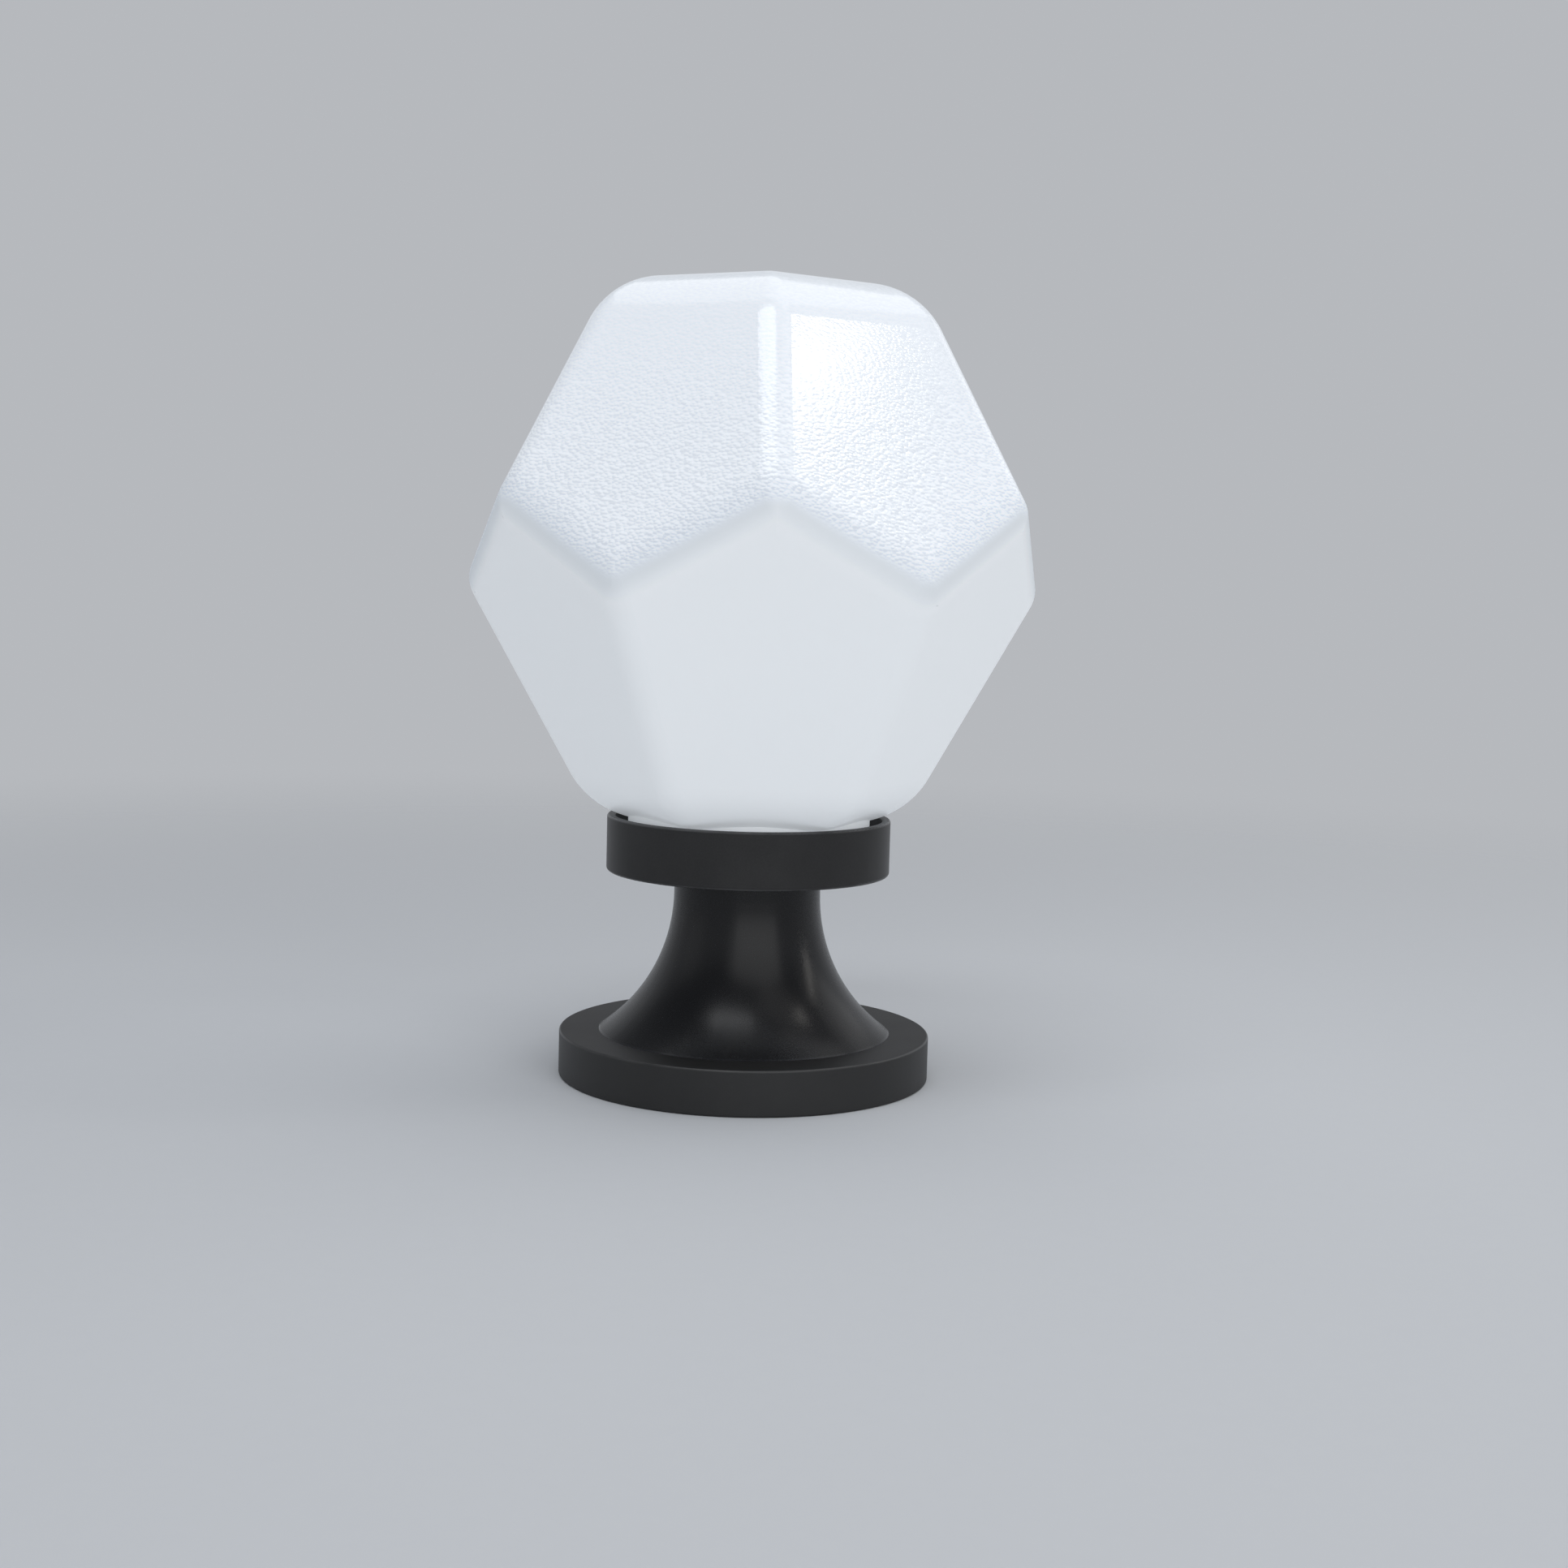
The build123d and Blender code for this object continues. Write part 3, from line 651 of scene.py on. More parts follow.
@dataclass(frozen=True)
class CircuitBoard(Finish):
    """Green board with copper tracks under its lacquer."""

    lacquer: Colour
    track: Colour
    roughness: float = 0.36
    track_size: float = 2.4 * MM
    track_edge: Span = (0.34, 0.4)
    track_share: float = 0.7
    weave: float = 0.5 * MM
    weave_share: float = 0.3
    weave_roughness: float = 0.1
    relief: float = 0.03 * MM

    def make(self) -> bpy.types.Material:
        """Makes the material of this finish.

        Returns:
            The finished material.
        """
        sheet = self.sheet()
        tracks = sheet.cells(self.track_size).step(*self.track_edge) * self.track_share
        weave = sheet.noise(self.weave)
        return sheet.finish({
            "Base Color": sheet.mix(tracks, self.lacquer, self.track),
            "Roughness": self.roughness + weave * self.weave_roughness,
            "Normal": sheet.bump(tracks + weave * self.weave_share, self.relief),
        })


class Wardrobe:
    """The finishes of the part, one material each, made when a piece first asks for it."""

    def __init__(self) -> None:
        """Starts with no materials made."""
        self.made: Dict[Finish, bpy.types.Material] = {}

    def material(self, finish: Finish) -> bpy.types.Material:
        """The material of a finish, made once.

        Args:
            finish: The finish.

        Returns:
            Its material.
        """
        if finish not in self.made:
            self.made[finish] = finish.make()
        return self.made[finish]

    def dress(self, finish: Finish, *nodes: str) -> None:
        """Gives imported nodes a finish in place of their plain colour.

        Args:
            finish: The finish to give.
            nodes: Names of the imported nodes.
        """
        for name in nodes:
            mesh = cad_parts[name].data
            mesh.materials.clear()
            mesh.materials.append(self.material(finish))
            LOG.info("%s: %s", name, finish.slot)

    def settle(self, piece: bpy.types.Object, finish: Finish, node: str) -> None:
        """Dresses a new piece, joins it to the base and hides the node that it stands for.

        Args:
            piece: The new piece.
            finish: Its finish.
            node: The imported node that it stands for.
        """
        piece.data.materials.append(self.material(finish))
        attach(piece, BASE_BODY)
        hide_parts(node)
        LOG.info("%s: %s, on %s", piece.name, finish.slot, BASE_BODY)


FOOT_BLACK = Moulding("black_plastic", (0.0165, 0.0165, 0.0167), 0.5, grain_depth=0.02 * MM, specular=0.45)
COLLAR_BLACK = Moulding("black_plastic", (0.033, 0.033, 0.0337), 0.36, grain_depth=0.01 * MM, specular=0.12)
STEM_BLACK = Moulding(
    "black_plastic", (0.006, 0.0061, 0.0072), 0.27, grain_depth=0.001 * MM, wander=0.2, shine_spread=0.04,
    specular=0.32,
)
RUBBER = Moulding("black_rubber", (0.018, 0.018, 0.018), 0.7, grain=0.3 * MM, grain_depth=0.03 * MM)
GREY_NYLON = Moulding("grey_nylon", (0.3, 0.31, 0.32), 0.5)
IVORY_NYLON = Moulding("ivory_nylon", (0.8, 0.77, 0.68), 0.45, wander=0.05)
BROWN_WIRE = Moulding("brown_insulation", (0.2, 0.085, 0.04), 0.38, grain=0.3 * MM)
BLUE_WIRE = Moulding("blue_insulation", (0.035, 0.14, 0.4), 0.38, grain=0.3 * MM)
LAMP_WHITE = Moulding("white_plastic", (0.82, 0.82, 0.81), 0.34, wander=0.03)
BOARD_WHITE = Moulding("board_aluminium", (0.8, 0.8, 0.79), 0.4, wander=0.04)
ZINC = PlatedMetal("zinc_steel", (0.62, 0.63, 0.64), (0.5, 0.5, 0.47), 0.32, lines=(3.0, 3.0, 1.0))
BRASS = PlatedMetal("brass", (0.76, 0.56, 0.25), (0.5, 0.36, 0.17), 0.26)
BRONZE = PlatedMetal("spring_bronze", (0.7, 0.42, 0.24), (0.46, 0.27, 0.15), 0.3)
TIN = PlatedMetal("solder_tin", (0.62, 0.62, 0.6), (0.44, 0.44, 0.43), 0.4, lines=(1.0, 1.0, 1.0))
NICKEL = PlatedMetal("nickel_plate", (0.72, 0.7, 0.66), (0.55, 0.53, 0.49), 0.2)
PORCELAIN = Glaze("white_ceramic", (0.85, 0.84, 0.8), (0.55, 0.5, 0.42), 0.16)
BLACK_GLASS = Glaze("black_glass", (0.014, 0.014, 0.017), (0.05, 0.05, 0.06), 0.1)
PHOSPHOR = Diffuser("yellow_phosphor", (0.82, 0.62, 0.1), (1.0, 0.85, 0.4), 0.25, 0.3)
FROST = Diffuser("frosted_plastic", (0.86, 0.86, 0.84), (1.0, 0.98, 0.94), 0.16, 0.45)
GREEN_BOARD = CircuitBoard("circuit_board", (0.03, 0.17, 0.07), (0.3, 0.24, 0.1))


@dataclass(frozen=True)
class Thread:
    """A screw thread on the outside of a rod."""

    crest: float
    root: float
    pitch: float
    lead_in: float
    # Shares of the pitch: where the flank starts and ends, and where the crest ends.
    flank: Span = (0.14, 0.5)
    crest_end: float = 0.64
    run_out: int = 2
    seam: float = 0.01 * MM
    steps: int = 32

    def profile(self) -> Tuple[Span, ...]:
        """One turn's outline: radius, and height as a share of the pitch."""
        return (
            (self.root, 0.0),
            (self.root, self.flank[0]),
            (self.crest, self.flank[1]),
            (self.crest, self.crest_end),
            (self.root, 1.0),
        )


@dataclass(frozen=True)
class Nut:
    """A hexagon nut, chamfered at its corners."""

    flats: float
    hole: float
    chamfer: float
    seat_share: float = 0.96
    sides: int = 6
    side_cuts: int = 7


@dataclass(frozen=True)
class Screw:
    """A screw with a driver's recess in its head."""

    head_radius: float
    head_height: float
    edge: float
    shank_radius: float
    shank_length: float
    slot: float
    reach: float
    depth: float
    segments: int = 32
    edge_segments: int = 3


class Shape:
    """A mesh under construction."""

    def __init__(self) -> None:
        """Starts with nothing."""
        self.mesh = bmesh.new()

    def everything(self) -> List[Any]:
        """All corners, edges and faces."""
        return [*self.mesh.verts, *self.mesh.edges, *self.mesh.faces]

    @staticmethod
    def corners(elements: Sequence[Any]) -> List[bmesh.types.BMVert]:
        """The corners among other elements."""
        return [element for element in elements if isinstance(element, bmesh.types.BMVert)]

    @staticmethod
    def edges_at(corners: Sequence[bmesh.types.BMVert]) -> List[bmesh.types.BMEdge]:
        """The edges that meet at some corners, each once."""
        return list(dict.fromkeys(edge for vert in corners for edge in vert.link_edges))

    def circle(
        self, radius: float, height: float, segments: int = ROUND_SEGMENTS
    ) -> List[bmesh.types.BMEdge]:
        """Adds a ring of edges about the Z axis, with a corner on the X axis.

        Args:
            radius: Radius of the ring's corners.
            height: Height of the ring.
            segments: Edges in the ring.

        Returns:
            The ring's edges.
        """
        place = Matrix.Translation((0.0, 0.0, height)) @ Matrix.Rotation(pi / 2, 4, "Z")
        made = bmesh.ops.create_circle(self.mesh, segments=segments, radius=radius, matrix=place)["verts"]
        return self.edges_at(made)

    def bridge(self, *loops: List[bmesh.types.BMEdge]) -> List[bmesh.types.BMFace]:
        """Joins two rings of edges by a band of faces."""
        return bmesh.ops.bridge_loops(self.mesh, edges=[edge for loop in loops for edge in loop])["faces"]

    @staticmethod
    def lies_at(element: Any, height: float) -> bool:
        """Whether all corners of an edge or a face are at a height."""
        return all(abs(vert.co.z - height) < SAME_HEIGHT for vert in element.verts)

    def open_end(self, height: float) -> List[bmesh.types.BMEdge]:
        """The open edges at a height."""
        return [edge for edge in self.mesh.edges if edge.is_boundary and self.lies_at(edge, height)]

    def level(self, height: float) -> List[bmesh.types.BMFace]:
        """The flat faces at a height."""
        return [face for face in self.mesh.faces if self.lies_at(face, height)]

    def lift(self, made: Sequence[Any], rise: float) -> None:
        """Moves the corners among new elements along the Z axis.

        Args:
            made: Elements that an operator made.
            rise: How far up they go.
        """
        bmesh.ops.translate(self.mesh, verts=self.corners(made), vec=(0.0, 0.0, rise))

    def wind(self, thread: Thread, bottom: float, top: float) -> None:
        """Winds a thread that reaches past both ends.

        Args:
            thread: The thread.
            bottom: Height of the lower end.
            top: Height of the upper end.
        """
        low = bottom - thread.run_out * thread.pitch
        outline = [
            self.mesh.verts.new((radius, 0.0, low + share * thread.pitch))
            for radius, share in thread.profile()
        ]
        edges = [self.mesh.edges.new(pair) for pair in zip(outline, outline[1:])]
        bmesh.ops.spin(
            self.mesh,
            geom=outline + edges,
            cent=(0.0, 0.0, 0.0),
            axis=(0.0, 0.0, 1.0),
            dvec=(0.0, 0.0, thread.pitch / thread.steps),
            angle=tau,
            steps=thread.steps,
        )
        # One turn is made, and then doubled until the thread is long enough.
        turns = 1
        while turns * thread.pitch < top - low + thread.pitch:
            copied = bmesh.ops.duplicate(self.mesh, geom=self.everything())["geom"]
            self.lift(copied, turns * thread.pitch)
            turns *= 2
        bmesh.ops.remove_doubles(self.mesh, verts=self.mesh.verts, dist=thread.seam)

    def threaded_tube(self, thread: Thread, bore: float, bottom: float, top: float) -> None:
        """A tube with a thread all along it and a lead-in at each end.

        Args:
            thread: The thread.
            bore: Radius of the tube's hole.
            bottom: Height of the lower end.
            top: Height of the upper end.
        """
        self.wind(thread, bottom, top)
        narrowed = thread.root / thread.crest
        holes = []
        for end, outward in ((bottom, -1.0), (top, 1.0)):
            cut = end - outward * thread.lead_in
            bmesh.ops.bisect_plane(
                self.mesh, geom=self.everything(), dist=ON_PLANE, plane_co=(0.0, 0.0, cut),
                plane_no=(0.0, 0.0, outward), clear_outer=True,
            )
            drawn = bmesh.ops.extrude_edge_only(self.mesh, edges=self.open_end(cut))["geom"]
            self.lift(drawn, outward * thread.lead_in)
            bmesh.ops.scale(self.mesh, verts=self.corners(drawn), vec=(narrowed, narrowed, 1.0))
            lip = self.open_end(end)
            hole = self.circle(bore, end)
            bmesh.ops.triangle_fill(
                self.mesh, edges=lip + hole, use_beauty=True, normal=(0.0, 0.0, outward)
            )
            holes.append(hole)
        self.bridge(*holes)

    def nut(self, size: Nut, bottom: float, top: float) -> None:
        """A hexagon nut, chamfered at its corners above and below.

        Args:
            size: Sizes of the nut.
            bottom: Height of the lower face.
            top: Height of the upper face.
        """
        seat = size.flats / 2 * size.seat_share
        inner = self.circle(size.hole, bottom)
        bearing = self.circle(seat, bottom)
        outline = self.circle(size.flats / 2 / cos(pi / size.sides), bottom, size.sides)
        cut = bmesh.ops.subdivide_edges(self.mesh, edges=outline, cuts=size.side_cuts)["geom_inner"]
        sides = self.edges_at(self.corners(cut))
        lower = self.bridge(inner, bearing) + self.bridge(bearing, sides)
        self.lift(bmesh.ops.extrude_face_region(self.mesh, geom=lower)["geom"], top - bottom)
        # The chamfer takes down what is outside the round seat.
        for vert in self.mesh.verts:
            past = max(0.0, Vector(vert.co.xy).length - seat)
            inward = 1.0 if vert.co.z < (bottom + top) / 2 else -1.0
            vert.co.z += inward * past * tan(radians(size.chamfer))

    def screw(self, size: Screw, recess: Recess) -> None:
        """A screw that stands on the origin: its head goes up and its shank goes down.

        Args:
            size: Sizes of the screw.
            recess: Shape of the driver's recess.
        """
        bmesh.ops.create_circle(self.mesh, cap_ends=True, segments=size.segments, radius=size.head_radius)
        seat = self.mesh.faces[:]
        self.lift(bmesh.ops.extrude_face_region(self.mesh, geom=seat)["geom"], size.head_height)
        rim = [edge for face in self.level(size.head_height) for edge in face.edges]
        bmesh.ops.bevel(
            self.mesh, geom=rim, offset=size.edge, affect="EDGES", segments=size.edge_segments,
            profile=0.5, material=-1,
        )
        if size.shank_length > 0:
            step = size.head_radius - size.shank_radius
            bmesh.ops.inset_individual(self.mesh, faces=self.level(0.0), thickness=step)
            middle = min(self.level(0.0), key=lambda face: face.calc_center_median().length)
            self.lift(bmesh.ops.extrude_face_region(self.mesh, geom=[middle])["geom"], -size.shank_length)
        self.drive(size, recess)

    def drive(self, size: Screw, recess: Recess) -> None:
        """Sinks the driver's recess into a screw's head.

        Args:
            size: Sizes of the screw.
            recess: Shape of the recess.
        """
        along, across = Vector((1.0, 0.0, 0.0)), Vector((0.0, 1.0, 0.0))
        # The head is cut along the sides of the recess, and the faces between the cuts are sunk.
        for axis in (along, across):
            for place in (-size.reach, -size.slot / 2, size.slot / 2, size.reach):
                faces = self.level(size.head_height)
                edges = {edge for face in faces for edge in face.edges}
                verts = {vert for face in faces for vert in face.verts}
                bmesh.ops.bisect_plane(
                    self.mesh, geom=[*faces, *edges, *verts], dist=ON_PLANE, plane_co=axis * place,
                    plane_no=axis,
                )
        arms = ((along, across),) if recess is Recess.SLOT else ((along, across), (across, along))
        dug = []
        for face in self.level(size.head_height):
            middle = face.calc_center_bounds()
            if any(abs(middle.dot(a)) < size.reach and abs(middle.dot(b)) < size.slot / 2 for a, b in arms):
                dug.append(face)
        self.lift(bmesh.ops.extrude_face_region(self.mesh, geom=dug)["geom"], -size.depth)

    def stand(self, places: Sequence[Point], turn: float, upside_down: bool) -> None:
        """Copies what stands on the origin to each place.

        Args:
            places: Where the copies stand.
            turn: Turn from each copy to the next, in degrees.
            upside_down: Whether the copies hang instead of stand.
        """
        model = self.everything()
        for number, place in enumerate(places, start=1):
            copied = bmesh.ops.duplicate(self.mesh, geom=model)["geom"]
            pose = Matrix.Translation(place) @ Matrix.Rotation(radians(turn * number), 4, "Z")
            if upside_down:
                pose = pose @ Matrix.Rotation(pi, 4, "X")
            bmesh.ops.transform(self.mesh, matrix=pose, verts=self.corners(copied))
        bmesh.ops.delete(self.mesh, geom=self.corners(model), context="VERTS")

    def done(self, name: str) -> bpy.types.Object:
        """Closes the mesh and makes it an object of the scene.

        Args:
            name: Name of the piece.

        Returns:
            The new object.
        """
        bmesh.ops.remove_doubles(self.mesh, verts=self.mesh.verts, dist=SAME_PLACE)
        bmesh.ops.recalc_face_normals(self.mesh, faces=self.mesh.faces)
        # On a closed ring the operator can take the wrong side for the outside.
        closed = all(edge.is_manifold for edge in self.mesh.edges)
        if closed and self.mesh.calc_volume(signed=True) < 0:
            bmesh.ops.reverse_faces(self.mesh, faces=self.mesh.faces)
        data = bpy.data.meshes.new(name)
        self.mesh.to_mesh(data)
        self.mesh.free()
        data.shade_smooth()
        data.set_sharp_from_angle(angle=radians(SHARP_ANGLE))
        piece = bpy.data.objects.new(name, data)
        bpy.context.scene.collection.objects.link(piece)
        return piece


def screw_set(
    name: str,
    size: Screw,
    recess: Recess,
    places: Sequence[Point],
    turn: float,
    upside_down: bool = False,
) -> bpy.types.Object:
    """Makes like screws as one piece.

    Args:
        name: Name of the piece.
        size: Sizes of one screw.
        recess: Shape of the driver's recess.
        places: Where the screws stand.
        turn: Turn from each screw to the next, in degrees.
        upside_down: Whether the screws hang instead of stand.

    Returns:
        The screws.
    """
    shape = Shape()
    shape.screw(size, recess)
    shape.stand(places, turn, upside_down)
    return shape.done(name)


class Assembly(ABC):
    """A sub-assembly of the light."""

    @abstractmethod
    def build(self, wardrobe: Wardrobe) -> None:
        """Makes its new pieces and dresses it.

        Args:
            wardrobe: The materials.
        """


@dataclass
class Housing(Assembly):
    """Foot, stem and collar with the seal under the foot."""

    # Edge rings that get wear and a painted highlight.
    foot_edges: Tuple[Ring, ...] = (Ring(66.5 * MM, 15.8 * MM),)
    stem_edges: Tuple[Ring, ...] = (Ring(52.3 * MM, 16.4 * MM),)
    collar_edges: Tuple[Ring, ...] = (Ring(50.6 * MM, 73.9 * MM), Ring(50.6 * MM, 93.5 * MM))

    def build(self, wardrobe: Wardrobe) -> None:
        """Dresses the black mouldings, with wear and a painted highlight at their edges, and their seal.

        Args:
            wardrobe: The materials.
        """
        wardrobe.dress(replace(FOOT_BLACK, wear_and_highlight_edges=self.foot_edges), "foot")
        wardrobe.dress(replace(STEM_BLACK, wear_and_highlight_edges=self.stem_edges), "stem")
        wardrobe.dress(replace(COLLAR_BLACK, wear_and_highlight_edges=self.collar_edges), "collar")
        wardrobe.dress(RUBBER, "base_gasket")


@dataclass
class Globe(Assembly):
    """The opal globe with the seal round its neck."""

    face_lean: float = 25.85
    face_reach: float = 86.5 * MM
    middle: float = 188.85 * MM
    first_upper_face: float = 30.0
    first_lower_face: float = 0.0

    def build(self, wardrobe: Wardrobe) -> None:
        """Dresses the globe and its seal.

        Args:
            wardrobe: The materials.
        """
        upper = FacetRing(self.first_upper_face, self.face_lean, self.face_reach, self.middle)
        lower = FacetRing(self.first_lower_face, -self.face_lean, self.face_reach, self.middle)
        wardrobe.dress(OpalShell("opal_plastic", upper, lower), "globe")
        wardrobe.dress(RUBBER, "globe_seal")


@dataclass
class Clamp(Assembly):
    """Mounting plate, threaded rod, nuts, washer and cable bush."""

    thread: Thread = Thread(4.97 * MM, 4.42 * MM, 1.0 * MM, 0.6 * MM)
    rod_bore: float = 3.4 * MM
    rod_span: Span = (3.0 * MM, 85.7 * MM)
    nut_size: Nut = Nut(17.0 * MM, 5.02 * MM, chamfer=30.0)
    lower_plate_nut_span: Span = (5.0 * MM, 10.0 * MM)
    upper_plate_nut_span: Span = (12.0 * MM, 17.0 * MM)
    clamp_nut_span: Span = (78.2 * MM, 84.2 * MM)

    def rod(self) -> bpy.types.Object:
        """Makes the hollow rod with its fine thread.

        Returns:
            The rod.
        """
        shape = Shape()
        shape.threaded_tube(self.thread, self.rod_bore, *self.rod_span)
        return shape.done("rod_with_thread")

    def nut(self, name: str, span: Span) -> bpy.types.Object:
        """Makes one nut.

        Args:
            name: Name of the piece.
            span: Heights of its lower and upper face.

        Returns:
            The nut.
        """
        shape = Shape()
        shape.nut(self.nut_size, *span)
        return shape.done(name)

    def build(self, wardrobe: Wardrobe) -> None:
        """Makes the rod and the nuts and dresses the rest.

        Args:
            wardrobe: The materials.
        """
        wardrobe.settle(self.rod(), ZINC, "threaded_rod")
        wardrobe.settle(self.nut("lower_plate_nut", self.lower_plate_nut_span), ZINC, "plate_nuts")
        wardrobe.settle(self.nut("upper_plate_nut", self.upper_plate_nut_span), ZINC, "plate_nuts")
        wardrobe.settle(self.nut("chamfered_clamp_nut", self.clamp_nut_span), ZINC, "clamp_nut")
        wardrobe.dress(ZINC, "mounting_plate", "clamp_washer")
        wardrobe.dress(GREY_NYLON, "cable_bush")


@dataclass
class Lampholder(Assembly):
    """Bracket, ceramic body, threaded shell, contact and screws."""

    foot_screw: Screw = Screw(
        3.5 * MM, 2.2 * MM, 1.0 * MM, 1.9 * MM, 7.5 * MM, slot=0.9 * MM, reach=1.9 * MM, depth=1.1 * MM
    )
    foot_screw_places: Tuple[Point, ...] = ((-31.23 * MM, 0.0, 83.2 * MM), (31.23 * MM, 0.0, 83.2 * MM))
    foot_screw_turn: float = 24.0
    deck_screw: Screw = Screw(
        2.75 * MM, 2.0 * MM, 0.7 * MM, 1.4 * MM, 9.0 * MM, slot=0.7 * MM, reach=1.5 * MM, depth=0.9 * MM
    )
    deck_screw_places: Tuple[Point, ...] = ((-17.6 * MM, 0.0, 94.0 * MM), (17.6 * MM, 0.0, 94.0 * MM))
    deck_screw_turn: float = 35.0

    def foot_screws(self) -> bpy.types.Object:
        """Makes the screws that hold the bracket's feet."""
        return screw_set(
            "cross_head_screws", self.foot_screw, Recess.CROSS, self.foot_screw_places, self.foot_screw_turn
        )

    def deck_screws(self) -> bpy.types.Object:
        """Makes the screws that go up through the bracket's deck into the ceramic body."""
        return screw_set(
            "deck_screws", self.deck_screw, Recess.CROSS, self.deck_screw_places, self.deck_screw_turn,
            upside_down=True,
        )

    def build(self, wardrobe: Wardrobe) -> None:
        """Makes the screws and dresses the rest.

        Args:
            wardrobe: The materials.
        """
        wardrobe.settle(self.foot_screws(), ZINC, "bracket_screws")
        wardrobe.settle(self.deck_screws(), ZINC, "lampholder_screws")
        wardrobe.dress(ZINC, "lampholder_bracket")
        wardrobe.dress(PORCELAIN, "lampholder_body")
        wardrobe.dress(BRASS, "lampholder_shell")
        wardrobe.dress(BRONZE, "centre_contact")


@dataclass
class Connection(Assembly):
    """Terminal block, its tubes and screws, and the two leads."""

    grub_screw: Screw = Screw(
        1.38 * MM, 3.25 * MM, 0.15 * MM, 0.0, 0.0, slot=0.45 * MM, reach=1.15 * MM, depth=0.7 * MM
    )
    grub_screw_places: Tuple[Point, ...] = tuple(
        (x * MM, y * MM, 83.45 * MM) for x in (-5.0, 5.0) for y in (24.97, 32.97)
    )
    grub_screw_turn: float = 40.0

    def grub_screws(self) -> bpy.types.Object:
        """Makes the slotted screws of the terminals."""
        return screw_set(
            "slotted_screws", self.grub_screw, Recess.SLOT, self.grub_screw_places, self.grub_screw_turn
        )

    def build(self, wardrobe: Wardrobe) -> None:
        """Makes the slotted screws and dresses the rest.

        Args:
            wardrobe: The materials.
        """
        wardrobe.settle(self.grub_screws(), BRASS, "terminal_screws")
        wardrobe.dress(IVORY_NYLON, "terminal_block")
        wardrobe.dress(BRASS, "terminal_tubes")
        wardrobe.dress(BROWN_WIRE, "live_lead")
        wardrobe.dress(BLUE_WIRE, "neutral_lead")


@dataclass
class Lamp(Assembly):
    """The screw-in lamp."""

    def build(self, wardrobe: Wardrobe) -> None:
        """Dresses the lamp's pieces.

        Args:
            wardrobe: The materials.
        """
        wardrobe.dress(TIN, "lamp_contact")
        wardrobe.dress(BLACK_GLASS, "lamp_insulator")
        wardrobe.dress(NICKEL, "lamp_cap")
        wardrobe.dress(LAMP_WHITE, "lamp_housing")
        wardrobe.dress(BOARD_WHITE, "lamp_board")
        wardrobe.dress(PHOSPHOR, "lamp_leds")
        wardrobe.dress(GREEN_BOARD, "lamp_driver")
        wardrobe.dress(FROST, "lamp_dome")


PLAIN_LIGHT: Colour = (1.0, 1.0, 1.0)
WARM_LIGHT: Colour = (1.0, 0.97, 0.92)
SOFT_WARM_LIGHT: Colour = (1.0, 0.985, 0.96)
COOL_LIGHT: Colour = (0.96, 0.98, 1.0)


@dataclass(frozen=True)
class Panel:
    """One soft light: a flat panel that shines at a point."""

    name: str
    place: Point
    aim: Point
    width: float
    height: float
    power: float
    colour: Colour = PLAIN_LIGHT
    turn: float = 0.0
    outline: Outline = Outline.RECTANGLE

    def build(self) -> None:
        """Hangs the light."""
        data = bpy.data.lights.new(self.name, "AREA")
        data.shape = self.outline.value
        data.size = self.width
        data.size_y = self.height
        data.energy = self.power
        data.color = self.colour
        direction = Vector(self.aim) - Vector(self.place)
        lamp = bpy.data.objects.new(self.name, data)
        lamp.matrix_world = (
            Matrix.Translation(self.place)
            @ direction.to_track_quat("-Z", "Y").to_matrix().to_4x4()
            @ Matrix.Rotation(radians(self.turn), 4, "Z")
        )
        lamp.visible_camera = False
        bpy.context.scene.collection.objects.link(lamp)


PANELS: Tuple[Panel, ...] = (
    Panel(
        "right_panel", (0.922, -0.217, 1.148), (0.008, -0.077, 0.24), 0.163, 0.12, 0.52, WARM_LIGHT,
        turn=15.0,
    ),
    Panel("right_strip", (1.25, 0.01, 0.6), (0.08, -0.05, 0.2), 0.05, 0.55, 0.8, WARM_LIGHT),
    Panel("right_high", (0.62, -0.7, 1.2), (0.0, -0.05, 0.15), 0.8, 0.5, 0.65, SOFT_WARM_LIGHT),
    Panel("right_back", (1.125, 0.65, 0.78), (0.03, -0.03, 0.03), 0.9, 0.6, 1.0),
    Panel(
        "left_softbox", (-0.27, -0.54, 1.36), (0.0, -0.08, 0.24), 0.9, 0.37, 2.8, COOL_LIGHT, turn=19.0,
        outline=Outline.ELLIPSE,
    ),
    Panel("top_softbox", (0.12, 0.45, 1.7), (0.0, 0.0, 0.2), 2.0, 1.4, 7.2),
    Panel("left_front", (-1.6, -0.2, 0.5), (0.0, 0.0, 0.1), 0.8, 0.8, 0.3),
    Panel("right_front", (0.32, -1.62, 0.68), (0.0, 0.0, 0.1), 2.2, 1.3, 9.0),
)


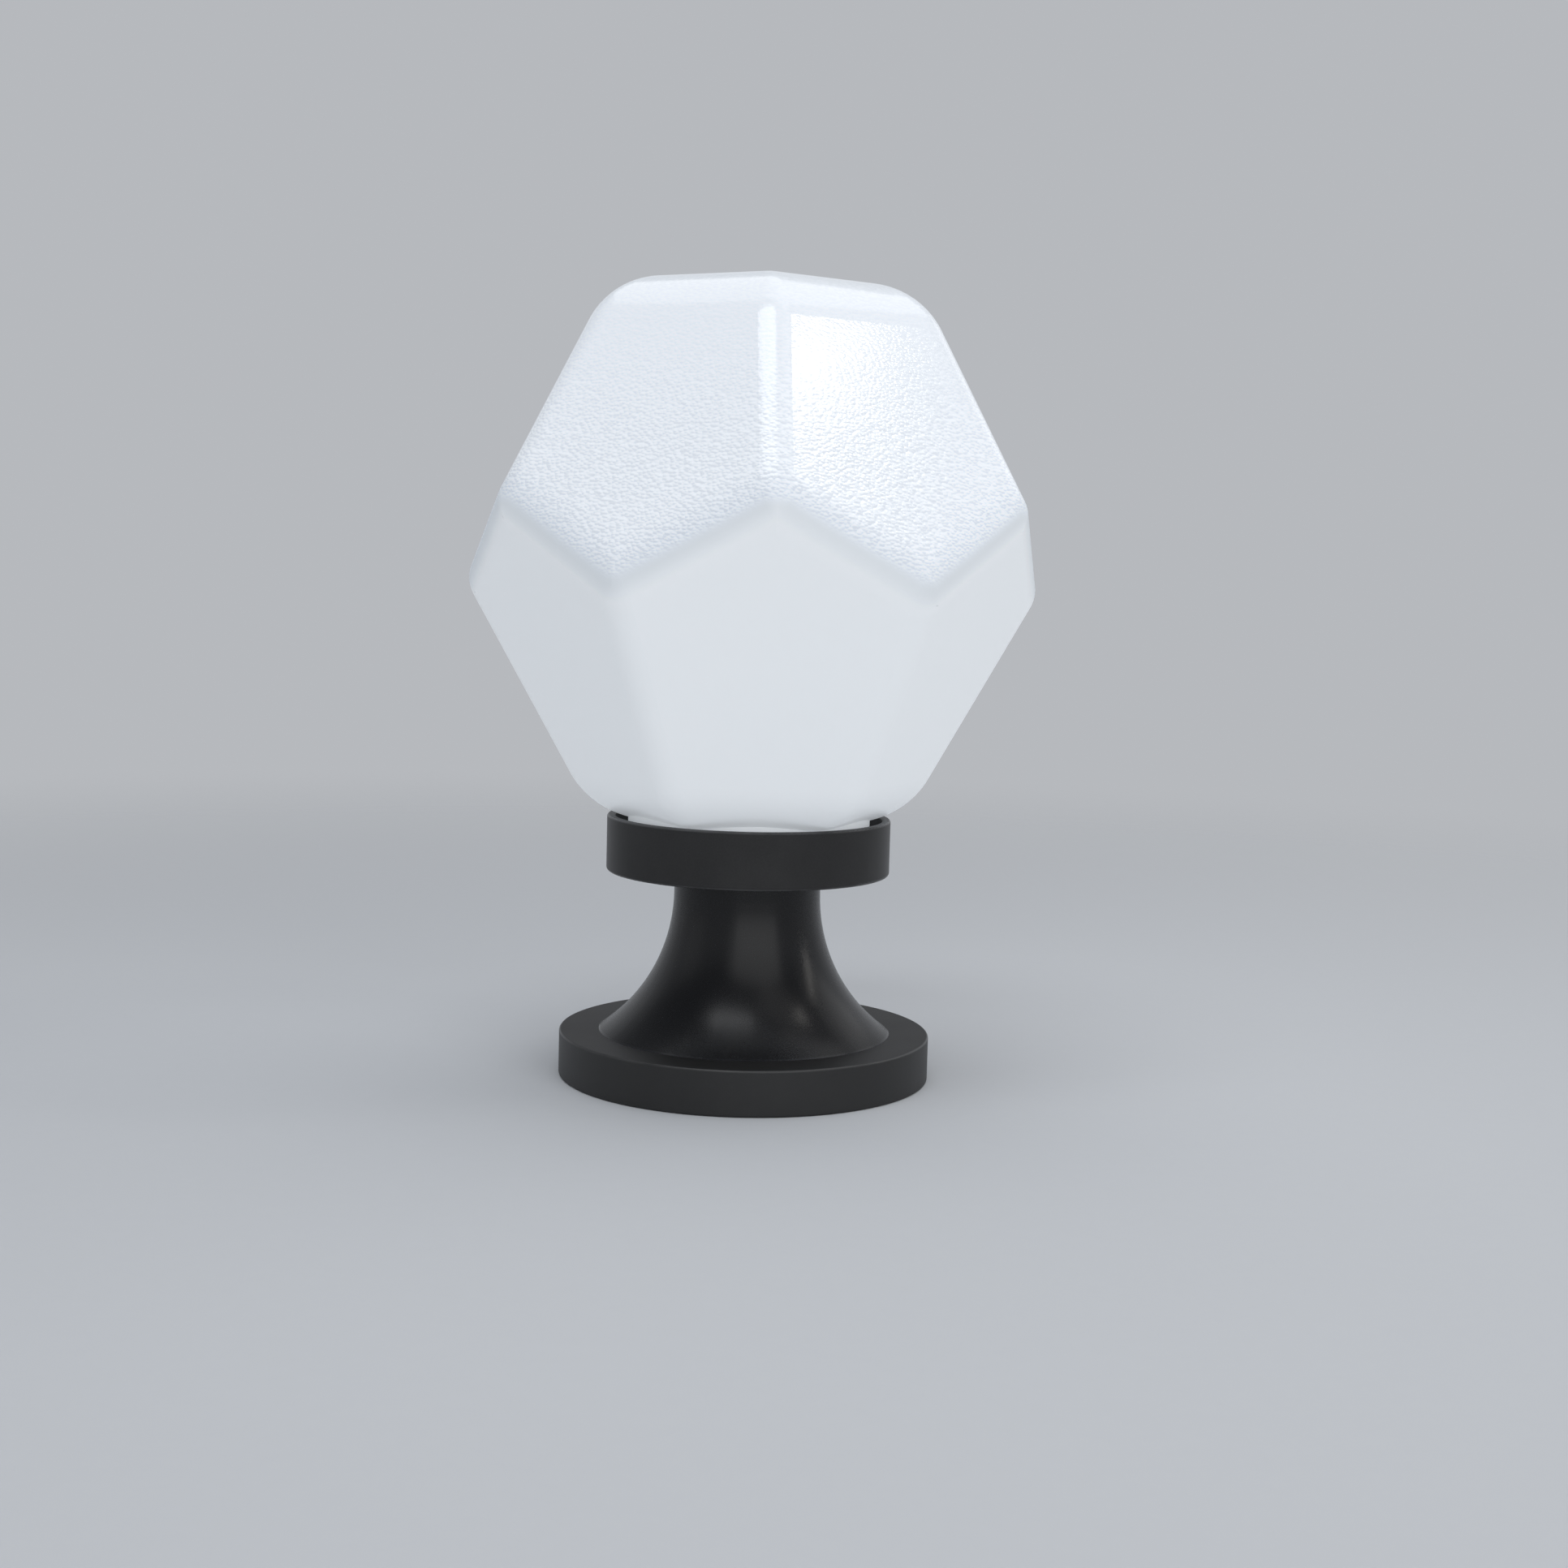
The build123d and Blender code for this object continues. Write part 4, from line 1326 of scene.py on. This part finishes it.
@dataclass
class Studio:
    """A pale floor that fades into an even pale surround, and soft lights."""

    floor_radius: float = 3.0
    floor_segments: int = 96
    fade: Span = (0.3, 1.2)
    paper: Colour = (0.72, 0.74, 0.77)
    fibre: float = 6.0 * MM
    fibre_share: float = 0.5
    fibre_shade: float = 0.97
    backdrop: Colour = (0.47, 0.485, 0.51)
    ceiling: Colour = (0.17, 0.18, 0.195)
    ceiling_edge: Span = (0.28, 0.6)
    panels: Tuple[Panel, ...] = PANELS

    def floor(self) -> bpy.types.Object:
        """Makes the floor as one round sheet.

        Returns:
            The floor, facing up.
        """
        mesh = bmesh.new()
        bmesh.ops.create_circle(
            mesh, cap_ends=True, segments=self.floor_segments, radius=self.floor_radius
        )
        bmesh.ops.recalc_face_normals(mesh, faces=mesh.faces)
        if any(face.normal.z < 0 for face in mesh.faces):
            bmesh.ops.reverse_faces(mesh, faces=mesh.faces)
        data = bpy.data.meshes.new("floor")
        mesh.to_mesh(data)
        mesh.free()
        data.materials.append(self.floor_material())
        made = bpy.data.objects.new("floor", data)
        bpy.context.scene.collection.objects.link(made)
        return made

    def floor_material(self) -> bpy.types.Material:
        """Matt pale paper that fades out with distance and can be seen through from underneath.

        Returns:
            The floor's material.
        """
        sheet = Sheet(bpy.data.materials.new("pale_floor"))
        fibre = sheet.noise(self.fibre, detail=3.0)
        paper = sheet.mix(fibre * self.fibre_share, self.paper, shade(self.paper, self.fibre_shade))
        matt = sheet.node("ShaderNodeBsdfDiffuse", sockets={"Color": paper})
        clear = sheet.node("ShaderNodeBsdfTransparent")
        under = sheet.node("ShaderNodeNewGeometry", output="Backfacing")
        faded = sheet.length(sheet.place).step(*self.fade)
        seen_through = under + faded - under * faded
        return sheet.close(sheet.node("ShaderNodeMixShader", sockets={0: seen_through, 1: matt, 2: clear}))

    def world(self) -> bpy.types.World:
        """An even pale surround under a darker ceiling.

        Returns:
            The world.
        """
        sheet = Sheet(bpy.data.worlds.new("studio"), coordinates="Generated")
        tone = sheet.mix(sheet.height().step(*self.ceiling_edge), self.backdrop, self.ceiling)
        light = sheet.node("ShaderNodeBackground", sockets={"Color": tone})
        return sheet.close(light, "ShaderNodeOutputWorld")

    def build(self) -> None:
        """Sets up the floor, the lights and the world."""
        scene = bpy.context.scene
        self.floor()
        for panel in self.panels:
            panel.build()
        scene.world = self.world()
        scene.view_settings.view_transform = "Standard"


@dataclass(frozen=True)
class Viewpoint:
    """The camera, at the photograph's viewing angle."""

    turn: float = 3.553
    distance: float = 0.761
    height: float = 0.1791
    pitch: float = 5.526
    yaw: float = 0.921
    roll: float = 1.5
    focal_px: float = 2625.9
    frame_px: float = 1932.0

    def build(self) -> None:
        """Makes the camera and gives it to the scene."""
        data = bpy.data.cameras.new("camera")
        data.sensor_fit = "HORIZONTAL"
        data.lens = data.sensor_width * self.focal_px / self.frame_px
        camera = bpy.data.objects.new("camera", data)
        camera.matrix_world = (
            Matrix.Rotation(radians(-self.turn), 4, "Z")
            @ Matrix.Translation((0.0, -self.distance, self.height))
            @ Matrix.Rotation(radians(-self.yaw), 4, "Z")
            @ Matrix.Rotation(radians(90 - self.pitch), 4, "X")
            @ Matrix.Rotation(radians(self.roll), 4, "Z")
        )
        bpy.context.scene.collection.objects.link(camera)
        bpy.context.scene.camera = camera


def main() -> None:
    """Builds the studio and dresses the light, piece by piece."""
    logging.basicConfig(level=logging.INFO, format="%(name)s: %(message)s")
    Viewpoint().build()
    Studio().build()
    wardrobe = Wardrobe()
    for assembly in (Housing(), Globe(), Clamp(), Lampholder(), Connection(), Lamp()):
        assembly.build(wardrobe)


if __name__ == "__main__":
    main()
